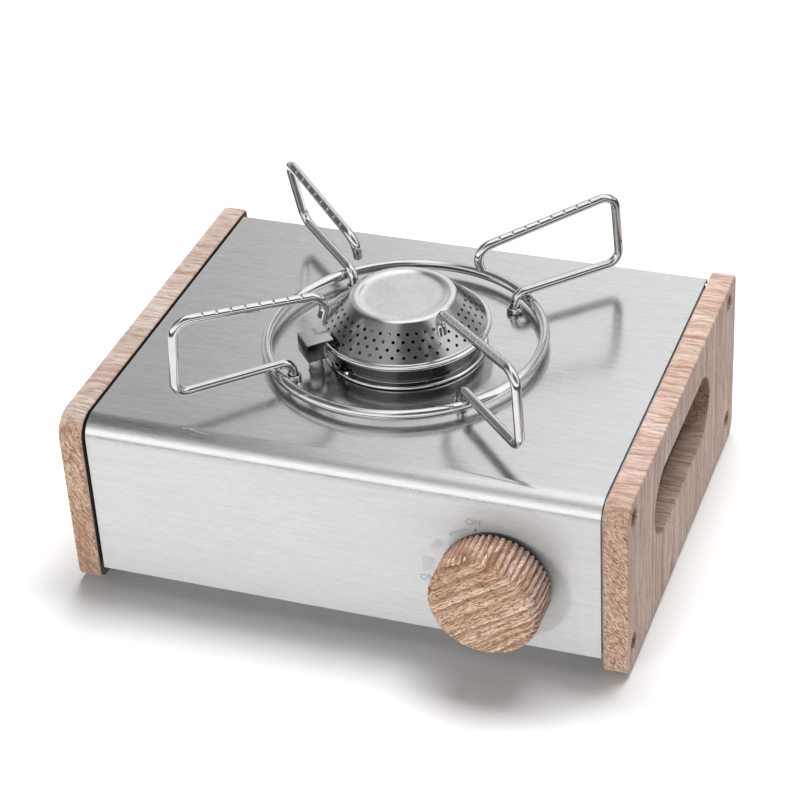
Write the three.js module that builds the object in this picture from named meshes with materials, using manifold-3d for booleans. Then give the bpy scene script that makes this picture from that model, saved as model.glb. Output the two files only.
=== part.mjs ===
// Single-burner camping stove: a bent steel case between two wooden side panels, a perforated burner under a
// lift-off wire trivet, and the valve, igniter and canister fittings that the case holds.
// Millimetres, +Z up, the knob faces -Y. The frame's origin is the middle of the footprint, on the ground.
import * as THREE from "three";
import { mergeVertices } from "three/addons/utils/BufferGeometryUtils.js";
import Module from "manifold-3d";

const wasm = await Module();
wasm.setup();

// ---------------------------------------------------------------- driving dimensions
const GAP = 0.3; // left between pieces that touch
const PAST = 1; // cutters and joined bosses run this far past a face

// Case and wooden panels
const CASE_WIDTH = 235.2;
const CASE_DEPTH = 172.7;
const PANEL_HEIGHT = 80;
const PANEL_THICKNESS = 10.2;
const PANEL_TOP_RADIUS = 10;
const PANEL_FOOT_RADIUS = 5;
const PANEL_REAR_RADIUS = 3; // upper rear corner
const REAR_OVERHANG = 3.8; // panels reach this much further to the rear than to the front
const PANEL_ARRIS = 1.4;
const GRIP_LENGTH = 90;
const GRIP_HEIGHT = 30.5;
const GRIP_MIDDLE_Y = -1;
const GRIP_MIDDLE_UP = 48.2; // above the panel's foot
const SHEET = 1; // sheet steel of the case
const TOP_STEP = 0.9; // panel top above the steel
const FACE_INSET = 1.7; // panel edge in front of the steel
const SHELL_LIFT = 6.3; // lower edge of the steel above the panel's foot
const SHELL_END_GAP = 1; // dark joint between steel and wood
const SHELL_BEND = 9;
const REAR_BEND = 1.6;
const REAR_LIP = 2.6; // turned-down edge over the door
const FLANGE_TURN = 9; // turned-up front edge of the base plate
const VENT_LENGTH = 46;
const VENT_WIDTH = 5;
const VENT_PITCH = 60;
const VENT_ROWS = 2;
const VENT_BACK = 57; // first vent row behind the steel face
const PAD_THICKNESS = 1.2;
const PAD_LENGTH = 26;
const PAD_MARGIN = 1.4; // wood left bare beside a pad
const PAD_INSET = 12; // from the panel's end

// Panel screws
const SCREW_SPREAD_Y = 78;
const SCREW_LOW = 12.2;
const SCREW_HIGH = 72.4;
const SCREW_SHANK = 1.5;
const SCREW_HEAD = 3.3;
const SCREW_HEAD_THICKNESS = 1.8;
const SCREW_SLOT = 0.6;
const SCREW_SINK = 5.4; // depth of the counterbore
const SCREW_SINK_RADIUS = 4;
const SCREW_FIT = 0.3; // around the shank
const BOSS_RADIUS = 3.4;
const BOSS_LENGTH = 4;

// Burner, heights above the top plate
const BURNER_X = -0.5;
const BURNER_Y = 2.2;
const PORTS = 43; // in each of the rows
const PORT_WIDTH = 1.25;
const PORT_ROWS = 4;
const PORT_FIRST = 0.26; // share of the cone's slope at which the top row lies
const PORT_STEP = 0.197;
const PORT_SIDES = 3;
const CAP_WALL = 0.8;
const DISH_RADIUS = 17.9;
const DISH_HEIGHT = 24.4;
const DISH_SINK = 0.4;
const DISH_EDGE = 1;
const CONE_TOP_RADIUS = 22.2;
const CONE_TOP_HEIGHT = 24;
const CONE_EDGE = 0.6; // soft edge between dish and cone
const CONE_FOOT_SET_IN = 2.1; // cone's foot inside the flange's edge
const CONE_FOOT_HEIGHT = 12.4;
const CONE_SKIRT = 0.6; // cap spreads by this between the cone's foot and the flange
const FLANGE_WIDTH = 4.6; // beyond the body
const FLANGE_LOW = 9.8;
const FLANGE_TOP = 11.7;
const FLANGE_ROUND = 0.7;
const BODY_RADIUS = 31;
const BODY_WALL = 1.2;
const BODY_FILLET = 0.4;
const LIP_WIDTH = 3; // beyond the body
const LIP_THICKNESS = 1.3;
const LIP_ROUND = 0.7;
const NECK_RADIUS = 9;
const NECK_WALL = 1.2;
const NECK_DROP = 15; // below the top plate
const NECK_CLEAR = 1.3; // round the neck in the plate
const RIVET_RADIUS = 1.3;
const RIVET_TAPER = 0.7; // top radius as a share of the foot's
const RIVET_OUT = 1.45; // its axis from the body
const RIVET_RISE = 1;
const RIVET_ANGLE = -118; // degrees round the burner

// Trivet
const RING_RADIUS = 57.1;
const RING_WIRE = 2.2;
const RING_HEIGHT = 4.2;
const WIRE = 2;
const LEG_RADIUS = 50.5; // of the legs about the burner
const LOW_ROD_HEIGHT = 8.55;
const LOW_ROD_END_HEIGHT = 9.6;
const OUTER_LOW_RADIUS = 101;
const OUTER_TOP_RADIUS = 98.4;
const OUTER_TOP_HEIGHT = 42.6;
const INNER_RADIUS = 33;
const INNER_HEIGHT = 34.8;
const FREE_END_RADIUS = 36;
const FREE_END_HEIGHT = 25;
const LEG_BEND = 5;
const OUTER_LOW_BEND = 5.5;
const OUTER_TOP_BEND = 6.5;
const INNER_BEND = 6;
const SUPPORT_AZIMUTHS = [-45, 45, 135, 225];
const SUPPORT_LEANS = [0, 0, 12, 0]; // degrees about the lower rod
const NOTCHES = 8;
const NOTCH_FIRST = 44.5;
const NOTCH_PITCH = 6;
const NOTCH_WIDTH = 0.7;
const NOTCH_DEPTH = 0.6;
const SOCKET_WALL = 0.6;
const SOCKET_FIT = 0.3;
const SOCKET_RISE = 2.6;
const SOCKET_DEPTH = 5.4;
const SOCKET_RIM = 0.4; // rim wider than the barrel
const TRIVET_SEAT = 0.3; // between a leg's end and its socket's floor

// Igniter beside the burner
const IGNITER_AZIMUTH = 222.5;
const CERAMIC_RADIUS = 2.95;
const CERAMIC_CLEAR = 1.05; // from the burner's flange
const CERAMIC_RISE = 8.6;
const CERAMIC_DROP = 12;
const CERAMIC_BORE = 0.9;
const ELECTRODE_RADIUS = 0.55;
const ELECTRODE_RISE = 3.6; // wire above the ceramic
const ELECTRODE_DROP = 4;
const ELECTRODE_BEND = 1.5;
const ELECTRODE_TIP_RISE = 0.6; // of the tip over the bend
const HOOD_SIZE = 11.3;
const HOOD_LOW = 7.8;
const HOOD_TOP = 16;
const HOOD_SHEET = 0.6;
const HOOD_OUT = 3.4; // its middle from the burner's flange
const HOOD_CLEAR = 0.4; // of the flange's edge
const HOOD_TAB = 0.6; // rise of the tab's end under the flange
const TAB_LOW = 6.2;

// Knob, valve and igniter drive
const KNOB_FROM_PANEL = 42.3; // from the right panel's inner face
const KNOB_UP = 37.5; // above the panel's foot
const KNOB_RADIUS = 22.5;
const KNOB_LENGTH = 17.7;
const KNOB_ROUND = 3.4;
const KNOB_FLUTES = 52;
const FLUTE_DEPTH = 0.55;
const KNOB_BORE = 8.4;
const KNOB_BORE_DEPTH = 12;
const INSERT_FLANGE = 22;
const INSERT_FLANGE_THICKNESS = 0.9;
const INSERT_CLEAR = 1.6; // insert in front of the steel face
const NICK_DISTANCE = 13;
const NICK_RADIUS = 2.6;
const NICK_WIDTH = 0.7;
const NICK_DEPTH = 0.5;
const SPINDLE_RADIUS = 3;
const SPINDLE_FLAT = 2.2; // from the axis to the flat of the D
const SPINDLE_IN_KNOB = 9;
const SPINDLE_IN_VALVE = 9;
const FACE_HOLE_CLEAR = 0.9;
const KNOB_TRAVEL = 85; // degrees from OFF to ON, as behaviour has it
const CAM_RADIUS = 21.6;
const CAM_HUB = 6;
const CAM_THICKNESS = 2;
const CAM_TRACK = 5; // radial width of the ramp
const CAM_RISE = 2.4; // over KNOB_TRAVEL
const CAM_CLEAR = 0.6; // cam behind the steel face
const CAM_LEAD = 8; // degrees of ramp beyond each end of the travel
const PLUNGER_DISTANCE = 19; // below the spindle
const PLUNGER_RADIUS = 1.5;
const PLUNGER_LENGTH = 13;
const PLUNGER_SHOWS = 5.6;
const PLUNGER_FIT = 0.3;
const PIEZO_RADIUS = 5.5;
const PIEZO_LENGTH = 34;
const VALVE_WIDTH = 22;
const VALVE_HEIGHT = 24;
const VALVE_LENGTH = 36;
const BRACKET_STANDOFF = 8.2;
const BRACKET_SHEET = 1.2;
const BRACKET_HALF = 24.6;
const BRACKET_EAR = 8;
const BRACKET_HEIGHT = 14;
const BRACKET_TAIL = 27; // below the spindle, to hold the piezo unit
const BRACKET_TAIL_MARGIN = 3; // beside the piezo unit
const VALVE_SCREW = 1.4;
const VALVE_SCREW_HEAD = 2.5;
const VALVE_SCREW_LENGTH = 8;
const VALVE_SCREW_SPREAD = 8;

// Gas path
const TUBE_RADIUS = 7.4;
const TUBE_WALL = 0.9;
const TUBE_BEND = 16;
const TUBE_IN_NECK = 6;
const TUBE_BACK = 24; // tube's inlet line behind the valve's front
const JET_RADIUS = 3;
const JET_BORE = 0.7;
const JET_LENGTH = 9;
const JET_IN_TUBE = 3;
const JET_BOSS = 5;
const JET_BOSS_RADIUS = 5.2;
const CANISTER_RADIUS = 33.5;
const CANISTER_Y = 48;
const CANISTER_FLOOR_GAP = 0.5;
const REGULATOR_BODY = 17;
const REGULATOR_FLANGE = 21;
const REGULATOR_FLANGE_THICKNESS = 2.5;
const REGULATOR_LENGTH = 17;
const REGULATOR_SOCKET = 4.6;
const REGULATOR_SOCKET_DEPTH = 9;
const REGULATOR_CHAMFER = 1.5;
const MAGNET_RADIUS = 18.5;
const MAGNET_BORE = 9.5;
const MAGNET_THICKNESS = 3.6;
const PORT_BOSS = 4.6;
const PORT_BOSS_LENGTH = 7;
const PIPE_RADIUS = 2.4;
const PIPE_BEND = 8;
const PIPE_BACK = 31; // pipe's outlet line behind the valve's front
const SHIELD_SHEET = 0.8;
const SHIELD_SPACE = 1; // between shield and canister
const SHIELD_FOOT = 10;
const SHIELD_RIGHT = 82; // the shield's right end, so that the pipe passes
const LEAD_RADIUS = 1.1;
const LEAD_RUN = 5; // straight out of the piezo unit, and up to the electrode
const LEAD_RISE = 3; // middle of the lead over the base plate
const LEAD_TURNS = [0.18, 0.48, 0.81]; // stations of its run across, as shares of the way to the ceramic tube

// Rear door
const DOOR_END_GAP = 1.6;
const DOOR_TOP_GAP = 0.5;
const DOOR_NOTCH = 8;
const DOOR_CORNER = 2;
const DOOR_FOOT = 4; // hinge pin's height above the panel's foot
const PIN_RADIUS = 1.2;
const PIN_FIT = 0.3;
const PIN_SET_IN = 2.2; // pin's axis in front of the door's outer face
const KNUCKLE_WALL = 0.8;
const KNUCKLE_LENGTH = 12;
const HINGE_FROM_PANEL = 37.4; // from a panel's inner face
const HINGE_LEAF = 12;
const HINGE_SHEET = 1;
const HINGE_RELIEF = 3; // door cut away over the hinge's own knuckle
const MAGNET_BLOCK = [12, 5, 7];
const MAGNET_BLOCK_UP = 60; // its middle above the panel's foot

// ---------------------------------------------------------------- derived places
const PANEL_FOOT = PAD_THICKNESS;
const PANEL_OUTER = CASE_WIDTH / 2;
const PANEL_INNER = PANEL_OUTER - PANEL_THICKNESS;
const PANEL_EDGE = CASE_DEPTH / 2;
const PANEL_REAR = PANEL_EDGE + REAR_OVERHANG;
const PLATE_TOP = PANEL_FOOT + PANEL_HEIGHT - TOP_STEP;
const PLATE_UNDER = PLATE_TOP - SHEET;
const FACE = PANEL_EDGE - FACE_INSET; // outer steel face, front and rear
const FACE_INSIDE = FACE - SHEET;
const SHELL_FOOT = PANEL_FOOT + SHELL_LIFT;
const SHELL_END = PANEL_INNER - SHELL_END_GAP;
const BASE_TOP = SHELL_FOOT + SHEET;
const PLATE_INNER_END = PANEL_INNER - GAP - SHEET; // inner face of the end plates
const BASE_END = PLATE_INNER_END - GAP; // ends of the base plate, between the end plates
const KNOB_X = PANEL_INNER - KNOB_FROM_PANEL;
const KNOB_Z = PANEL_FOOT + KNOB_UP;
const INSERT_BACK = -FACE - INSERT_CLEAR;
const KNOB_BACK = INSERT_BACK - INSERT_FLANGE_THICKNESS - GAP;
const KNOB_FRONT = KNOB_BACK - KNOB_LENGTH;
const BRACKET_FRONT = -FACE_INSIDE + BRACKET_STANDOFF;
const VALVE_FRONT = BRACKET_FRONT + BRACKET_SHEET + GAP;
const SPINDLE_FRONT = KNOB_BACK - SPINDLE_IN_KNOB;
const CAM_FRONT = -FACE_INSIDE + CAM_CLEAR;
const CAM_BACK = CAM_FRONT + CAM_THICKNESS;
const PIEZO_FRONT = CAM_BACK + GAP + PLUNGER_SHOWS;
const PIEZO_Z = KNOB_Z - PLUNGER_DISTANCE;
const LIP_RADIUS = BODY_RADIUS + LIP_WIDTH;
const FLANGE_RADIUS = BODY_RADIUS + FLANGE_WIDTH;
const CONE_FOOT_RADIUS = FLANGE_RADIUS - CONE_FOOT_SET_IN;
const CERAMIC_DISTANCE = FLANGE_RADIUS + CERAMIC_CLEAR + CERAMIC_RADIUS;
const CERAMIC_TOP = PLATE_TOP + CERAMIC_RISE;
const HOOD_DISTANCE = FLANGE_RADIUS + HOOD_OUT;
const CANISTER_Z = BASE_TOP + CANISTER_FLOOR_GAP + CANISTER_RADIUS;
const REGULATOR_BACK = PLATE_INNER_END - GAP;
const REGULATOR_FACE = REGULATOR_BACK - REGULATOR_LENGTH;
const SHIELD_REAR = CANISTER_Y - CANISTER_RADIUS - SHIELD_SPACE;
const HINGE_SPREAD = PANEL_INNER - HINGE_FROM_PANEL;
const HINGE_Y = FACE - PIN_SET_IN;
const HINGE_Z = PANEL_FOOT + DOOR_FOOT;
const FRAME_SHIFT_Y = -(PANEL_REAR + KNOB_FRONT) / 2; // brings the footprint's middle to the origin
const degrees = (angle) => (angle * Math.PI) / 180;
const ordered = (a, b) => [Math.min(a, b), Math.max(a, b)];

// ---------------------------------------------------------------- materials
function material(color, roughness, metalness) {
  return new THREE.MeshStandardMaterial({ color, roughness, metalness });
}

const brushed = () => material(0xc6c7c8, 0.3, 1);
const polished = () => material(0xd6d7d8, 0.12, 1);
const pressed = () => material(0xa9abad, 0.4, 1);
const zinc = () => material(0x9da0a2, 0.45, 0.9);
const wood = () => material(0xc9a98b, 0.6, 0);
const screwSteel = () => material(0x4a443e, 0.45, 0.8);
const brass = () => material(0xb98d3e, 0.3, 1);
const copper = () => material(0xb5653a, 0.3, 1);
const casting = () => material(0x8d9093, 0.5, 0.8);
const rubber = () => material(0x1b1b1c, 0.85, 0);
const plastic = () => material(0x1d1c1b, 0.5, 0);
const ceramic = () => material(0xeeece6, 0.35, 0);
const ferrite = () => material(0x2c2c2e, 0.6, 0.3);

// ---------------------------------------------------------------- geometry helpers
// A geometry as a manifold-3d solid: vertices merged, slivers dropped, faces outwards.
function solid(geometry) {
  const bare = geometry.clone();
  for (const name of Object.keys(bare.attributes)) if (name !== "position") bare.deleteAttribute(name);
  const merged = mergeVertices(bare, 1e-4);
  const corners = merged.attributes.position.array;
  const faces = [];
  let volume = 0;
  const corner = (i) => new THREE.Vector3().fromArray(corners, 3 * i);
  for (let i = 0; i < merged.index.count; i += 3) {
    const [a, b, c] = [0, 1, 2].map((k) => merged.index.getX(i + k));
    if (a === b || b === c || c === a) continue;
    faces.push(a, b, c);
    volume += corner(a).dot(corner(b).cross(corner(c)));
  }
  if (volume < 0) faces.reverse();
  const mesh = new wasm.Mesh({ numProp: 3, vertProperties: corners, triVerts: new Uint32Array(faces) });
  return new wasm.Manifold(mesh);
}

// A solid back as a three.js geometry.
function geometryOf(body) {
  const { numProp, vertProperties, triVerts } = body.getMesh();
  const corners = new Float32Array((vertProperties.length / numProp) * 3);
  for (let i = 0; i < corners.length / 3; i++) {
    corners.set(vertProperties.subarray(i * numProp, i * numProp + 3), 3 * i);
  }
  const geometry = new THREE.BufferGeometry();
  geometry.setAttribute("position", new THREE.BufferAttribute(corners, 3));
  geometry.setIndex(new THREE.BufferAttribute(new Uint32Array(triVerts), 1));
  return geometry;
}

const cut = (body, ...tools) => tools.reduce((rest, tool) => rest.subtract(tool), body);
const join = (...bodies) => bodies.reduce((sum, body) => sum.add(body));

function box(x0, x1, y0, y1, z0, z1) {
  const geometry = new THREE.BoxGeometry(x1 - x0, y1 - y0, z1 - z0);
  return solid(geometry.translate((x0 + x1) / 2, (y0 + y1) / 2, (z0 + z1) / 2));
}

// A cylinder or cone along one axis from one station to another, about a centre line given by the other two.
function rod(axis, from, to, radius, centre, segments = 20, endRadius = radius) {
  const geometry = new THREE.CylinderGeometry(endRadius, radius, to - from, segments);
  const middle = (from + to) / 2;
  if (axis === "x") geometry.rotateZ(-Math.PI / 2).translate(middle, centre[0], centre[1]);
  if (axis === "y") geometry.translate(centre[0], middle, centre[1]);
  if (axis === "z") geometry.rotateX(Math.PI / 2).translate(centre[0], centre[1], middle);
  return solid(geometry);
}

// A profile of [radius, station] points turned about an axis through a centre line.
function turned(axis, profile, centre, segments = 40) {
  const points = profile.map(([radius, station]) => new THREE.Vector2(Math.max(radius, 0), station));
  const geometry = new THREE.LatheGeometry(points, segments);
  if (axis === "x") geometry.rotateZ(-Math.PI / 2).translate(0, centre[0], centre[1]);
  if (axis === "y") geometry.translate(centre[0], 0, centre[1]);
  if (axis === "z") geometry.rotateX(Math.PI / 2).translate(centre[0], centre[1], 0);
  return solid(geometry);
}

const closed = (profile) => [...profile, profile[0]];

// A ring of rectangular section about an axis.
function ring(axis, from, to, inner, outer, centre, segments = 32) {
  return turned(axis, closed([[inner, from], [outer, from], [outer, to], [inner, to]]), centre, segments);
}

// An outline in the YZ plane carried along X.
function alongX(shape, from, to, options = {}) {
  const geometry = new THREE.ExtrudeGeometry(shape, { depth: to - from, bevelEnabled: false, ...options });
  const turn = new THREE.Matrix4().makeBasis(
    new THREE.Vector3(0, 1, 0), new THREE.Vector3(0, 0, 1), new THREE.Vector3(1, 0, 0));
  return solid(geometry.applyMatrix4(turn).translate(from, 0, 0));
}

// An outline in the XZ plane carried from one Y to a larger Y.
function alongY(shape, from, to, options = {}) {
  const geometry = new THREE.ExtrudeGeometry(shape, { depth: to - from, bevelEnabled: false, ...options });
  return solid(geometry.rotateX(Math.PI / 2).translate(0, to, 0));
}

// An outline in the XY plane carried from one Z to a larger Z.
function alongZ(shape, from, to) {
  const geometry = new THREE.ExtrudeGeometry(shape, { depth: to - from, bevelEnabled: false });
  return solid(geometry.translate(0, 0, from));
}

const shapeOf = (points) => new THREE.Shape(points.map(([u, v]) => new THREE.Vector2(u, v)));

// Points of an open line whose corners are rounded; each corner is [u, v, radius].
function roundedLine(corners, steps = 5) {
  const points = [];
  corners.forEach(([u, v, radius = 0], i) => {
    const here = new THREE.Vector2(u, v);
    if (!radius || i === 0 || i === corners.length - 1) {
      points.push(here);
      return;
    }
    const before = new THREE.Vector2(...corners[i - 1].slice(0, 2)).sub(here).normalize();
    const after = new THREE.Vector2(...corners[i + 1].slice(0, 2)).sub(here).normalize();
    const half = Math.acos(THREE.MathUtils.clamp(before.dot(after), -1, 1)) / 2;
    const reach = radius / Math.tan(half);
    const inwards = before.clone().add(after).normalize();
    const middle = here.clone().addScaledVector(inwards, radius / Math.sin(half));
    const start = here.clone().addScaledVector(before, reach).sub(middle);
    const end = here.clone().addScaledVector(after, reach).sub(middle);
    const sweep = Math.atan2(start.cross(end), start.dot(end));
    for (let k = 0; k <= steps; k++) {
      points.push(start.clone().rotateAround(new THREE.Vector2(), (sweep * k) / steps).add(middle));
    }
  });
  return points;
}

// The outline of a bent sheet: its outer line, and the same line set in by the sheet's thickness to its left.
function sheetOutline(corners, thickness, steps) {
  const outer = roundedLine(corners, steps);
  const inner = outer.map((point, i) => {
    const before = outer[Math.max(i - 1, 0)];
    const after = outer[Math.min(i + 1, outer.length - 1)];
    const first = point.clone().sub(before);
    const second = after.clone().sub(point);
    const along = first.normalize().add(second.normalize());
    const left = new THREE.Vector2(-along.y, along.x).normalize();
    const bend = first.length() && second.length() ? Math.cos(first.angleTo(second)) : 1;
    return point.clone().addScaledVector(left, thickness / Math.max(bend, 0.5));
  });
  return new THREE.Shape([...outer, ...inner.reverse()]);
}

// A rectangle with rounded corners as a Shape or Path; radii are lower then upper.
function roundedRectangle(kind, u0, u1, v0, v1, lowRadius,
  highRadius = lowRadius, farHighRadius = highRadius) {
  const path = new kind();
  path.moveTo(u0 + lowRadius, v0);
  path.lineTo(u1 - lowRadius, v0);
  path.absarc(u1 - lowRadius, v0 + lowRadius, lowRadius, -Math.PI / 2, 0, false);
  path.lineTo(u1, v1 - farHighRadius);
  path.absarc(u1 - farHighRadius, v1 - farHighRadius, farHighRadius, 0, Math.PI / 2, false);
  path.lineTo(u0 + highRadius, v1);
  path.absarc(u0 + highRadius, v1 - highRadius, highRadius, Math.PI / 2, Math.PI, false);
  path.lineTo(u0, v0 + lowRadius);
  path.absarc(u0 + lowRadius, v0 + lowRadius, lowRadius, Math.PI, 1.5 * Math.PI, false);
  return path;
}

// A round section carried along a curve; an inner radius makes it a pipe.
function swept(curve, radius, steps, sides = 10, inner = 0) {
  const section = new THREE.Shape();
  section.absarc(0, 0, radius, 0, 2 * Math.PI, false);
  if (inner) section.holes.push(new THREE.Path().absarc(0, 0, inner, 0, 2 * Math.PI, true));
  // A full arc is drawn with twice as many points as curveSegments.
  const options = { extrudePath: curve, steps, curveSegments: sides / 2, bevelEnabled: false };
  return solid(new THREE.ExtrudeGeometry(section, options));
}

// A route of straight runs and round bends through corners [x, y, z, bend radius], for a wire or a pipe.
class BentRoute extends THREE.Curve {
  constructor(corners, stepsInBend = 5) {
    super();
    this.points = [];
    corners.forEach(([x, y, z, radius = 0], i) => {
      const here = new THREE.Vector3(x, y, z);
      if (!radius) {
        this.points.push(here);
        return;
      }
      const before = new THREE.Vector3(...corners[i - 1].slice(0, 3)).sub(here).normalize();
      const after = new THREE.Vector3(...corners[i + 1].slice(0, 3)).sub(here).normalize();
      const half = before.angleTo(after) / 2;
      const inwards = before.clone().add(after).normalize();
      const middle = here.clone().addScaledVector(inwards, radius / Math.sin(half));
      const start = here.clone().addScaledVector(before, radius / Math.tan(half)).sub(middle);
      const end = here.clone().addScaledVector(after, radius / Math.tan(half)).sub(middle);
      const axis = start.clone().cross(end).normalize();
      for (let k = 0; k <= stepsInBend; k++) {
        const turnBy = (start.angleTo(end) * k) / stepsInBend;
        this.points.push(start.clone().applyAxisAngle(axis, turnBy).add(middle));
      }
    });
  }

  get steps() {
    return this.points.length - 1;
  }

  // The stations lie on the corner points, so that each run is straight and each bend has its own facets.
  getPoint(t) {
    const place = Math.min(t * this.steps, this.steps - 1e-9);
    const i = Math.floor(place);
    return this.points[i].clone().lerp(this.points[i + 1], place - i);
  }

  getPointAt(t) {
    return this.getPoint(t);
  }

  getTangentAt(t) {
    const i = Math.round(t * this.steps);
    const before = this.points[Math.max(i - 1, 0)];
    const after = this.points[Math.min(i + 1, this.steps)];
    const here = this.points[i];
    const first = here.clone().sub(before);
    const second = after.clone().sub(here);
    return first.normalize().add(second.normalize()).normalize();
  }

  getTangent(t) {
    return this.getTangentAt(t);
  }
}

// ---------------------------------------------------------------- assembly
const stove = new THREE.Group();
stove.name = "camping_stove";
stove.position.y = FRAME_SHIFT_Y;

function add(name, body, finish) {
  const mesh = new THREE.Mesh(geometryOf(body), finish);
  mesh.name = name;
  stove.add(mesh);
}

const SIDES = [["left", -1], ["right", 1]];
const screwHeights = [SCREW_LOW, SCREW_HIGH].map((up) => PANEL_FOOT + up);
const screwPlaces = [-SCREW_SPREAD_Y, SCREW_SPREAD_Y].flatMap((y) => screwHeights.map((z) => [y, z]));
const around = (distance, azimuth) => [
  BURNER_X + distance * Math.cos(degrees(azimuth)),
  BURNER_Y + distance * Math.sin(degrees(azimuth)),
];

// ---------------------------------------------------------------- wooden panels and their pads
function sidePanel(side) {
  const outline = roundedRectangle(THREE.Shape, -PANEL_EDGE, PANEL_REAR,
    PANEL_FOOT, PANEL_FOOT + PANEL_HEIGHT, PANEL_FOOT_RADIUS, PANEL_TOP_RADIUS, PANEL_REAR_RADIUS);
  const gripLow = PANEL_FOOT + GRIP_MIDDLE_UP - GRIP_HEIGHT / 2;
  const grip = roundedRectangle(THREE.Path, GRIP_MIDDLE_Y - GRIP_LENGTH / 2, GRIP_MIDDLE_Y + GRIP_LENGTH / 2,
    gripLow, gripLow + GRIP_HEIGHT, GRIP_HEIGHT / 2 - 0.01);
  outline.holes.push(grip);
  const bevel = {
    depth: PANEL_THICKNESS - 2 * PANEL_ARRIS,
    bevelEnabled: true,
    bevelThickness: PANEL_ARRIS,
    bevelSize: PANEL_ARRIS,
    bevelOffset: -PANEL_ARRIS,
    bevelSegments: 1,
    curveSegments: 5,
  };
  const wooden = alongX(outline, PANEL_INNER + PANEL_ARRIS, PANEL_OUTER - PANEL_ARRIS, bevel);
  const holes = screwPlaces.flatMap((place) => [
    rod("x", PANEL_INNER - PAST, PANEL_OUTER + PAST, SCREW_SHANK + SCREW_FIT, place, 8),
    rod("x", PANEL_OUTER - SCREW_SINK, PANEL_OUTER + PAST, SCREW_SINK_RADIUS, place, 12),
  ]);
  const panel = cut(wooden, ...holes);
  return side < 0 ? panel.mirror([1, 0, 0]) : panel;
}

for (const [name, side] of SIDES) {
  add(`side_panel_${name}`, sidePanel(side), wood());
  for (const [end, sign] of [["front", -1], ["rear", 1]]) {
    const reach = (sign < 0 ? PANEL_EDGE : PANEL_REAR) - PAD_INSET;
    const [y0, y1] = ordered(sign * (reach - PAD_LENGTH), sign * reach);
    const inner = PANEL_INNER + PANEL_ARRIS + PAD_MARGIN;
    const outer = PANEL_OUTER - PANEL_ARRIS - PAD_MARGIN;
    const pad = box(inner, outer, y0, y1, 0, PAD_THICKNESS);
    add(`foot_pad_${name}_${end}`, side < 0 ? pad.mirror([1, 0, 0]) : pad, rubber());
  }
}

// ---------------------------------------------------------------- end plates and panel screws
function endPlate(side) {
  const margin = SHEET + GAP;
  const outline = roundedRectangle(THREE.Shape, -FACE + margin, FACE - margin, SHELL_FOOT, PLATE_TOP - margin,
    REAR_BEND, SHELL_BEND - SHEET);
  let plate = alongX(outline, PLATE_INNER_END, PLATE_INNER_END + SHEET);
  const bossEnd = PLATE_INNER_END - BOSS_LENGTH;
  for (const place of screwPlaces) {
    plate = join(plate, rod("x", bossEnd, PLATE_INNER_END + SHEET / 2, BOSS_RADIUS, place, 10));
    plate = cut(plate, rod("x", bossEnd - PAST, PANEL_INNER, SCREW_SHANK + SCREW_FIT, place, 8));
  }
  return side < 0 ? plate.mirror([1, 0, 0]) : plate;
}

function panelScrew(place, side) {
  const under = PANEL_OUTER - SCREW_SINK + GAP;
  const shank = rod("x", PLATE_INNER_END - BOSS_LENGTH, under + GAP, SCREW_SHANK, place, 8);
  const head = rod("x", under, under + SCREW_HEAD_THICKNESS, SCREW_HEAD, place, 12);
  const [y, z] = place;
  const slot = box(under + SCREW_HEAD_THICKNESS / 2, PANEL_OUTER, y - SCREW_HEAD, y + SCREW_HEAD,
    z - SCREW_SLOT / 2, z + SCREW_SLOT / 2);
  const screw = cut(join(shank, head), slot);
  return side < 0 ? screw.mirror([1, 0, 0]) : screw;
}

for (const [name, side] of SIDES) {
  add(`end_plate_${name}`, endPlate(side), brushed());
  screwPlaces.forEach((place, i) => {
    add(`panel_screw_${name}_${i + 1}`, panelScrew(place, side), screwSteel());
  });
}

// ---------------------------------------------------------------- steel case
const socketBarrel = WIRE + SOCKET_FIT + SOCKET_WALL;
const socketHole = socketBarrel + GAP;
const [ceramicX, ceramicY] = around(CERAMIC_DISTANCE, IGNITER_AZIMUTH);

function caseShell() {
  const line = [
    [-FACE, SHELL_FOOT],
    [-FACE, PLATE_TOP, SHELL_BEND],
    [FACE, PLATE_TOP, REAR_BEND],
    [FACE, PLATE_TOP - REAR_LIP],
  ].reverse();
  const shell = alongX(sheetOutline(line, SHEET, 6), -SHELL_END, SHELL_END);
  const through = (radius, place, sides) => (
    rod("z", PLATE_UNDER - PAST, PLATE_TOP + PAST, radius, place, sides)
  );
  return cut(
    shell,
    through(NECK_RADIUS + NECK_CLEAR, [BURNER_X, BURNER_Y], 32),
    through(CERAMIC_RADIUS + GAP, [ceramicX, ceramicY], 16),
    ...SUPPORT_AZIMUTHS.map((azimuth) => through(socketHole, around(LEG_RADIUS, azimuth), 16)),
    rod("y", -FACE - PAST, -FACE_INSIDE + PAST, SPINDLE_RADIUS + FACE_HOLE_CLEAR, [KNOB_X, KNOB_Z], 20),
  );
}

function basePlate() {
  const line = [
    [-FACE + SHEET + GAP, SHELL_FOOT + FLANGE_TURN],
    [-FACE + SHEET + GAP, SHELL_FOOT, REAR_BEND],
    [FACE - SHEET - GAP, SHELL_FOOT],
  ];
  let plate = alongX(sheetOutline(line, SHEET, 3), -BASE_END, BASE_END);
  const vents = [-1, 0, 1].flatMap((column) => Array.from({ length: VENT_ROWS }, (_, row) => [
    column * VENT_PITCH,
    -FACE + VENT_BACK + row * 2 * VENT_WIDTH,
  ]));
  for (const [x, y] of vents) {
    const slot = roundedRectangle(THREE.Shape, x - VENT_LENGTH / 2, x + VENT_LENGTH / 2,
      y - VENT_WIDTH / 2, y + VENT_WIDTH / 2, VENT_WIDTH / 2 - 0.01);
    plate = cut(plate, alongZ(new THREE.Shape(slot.getPoints(3)), SHELL_FOOT - PAST, BASE_TOP + PAST));
  }
  return plate;
}

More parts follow.
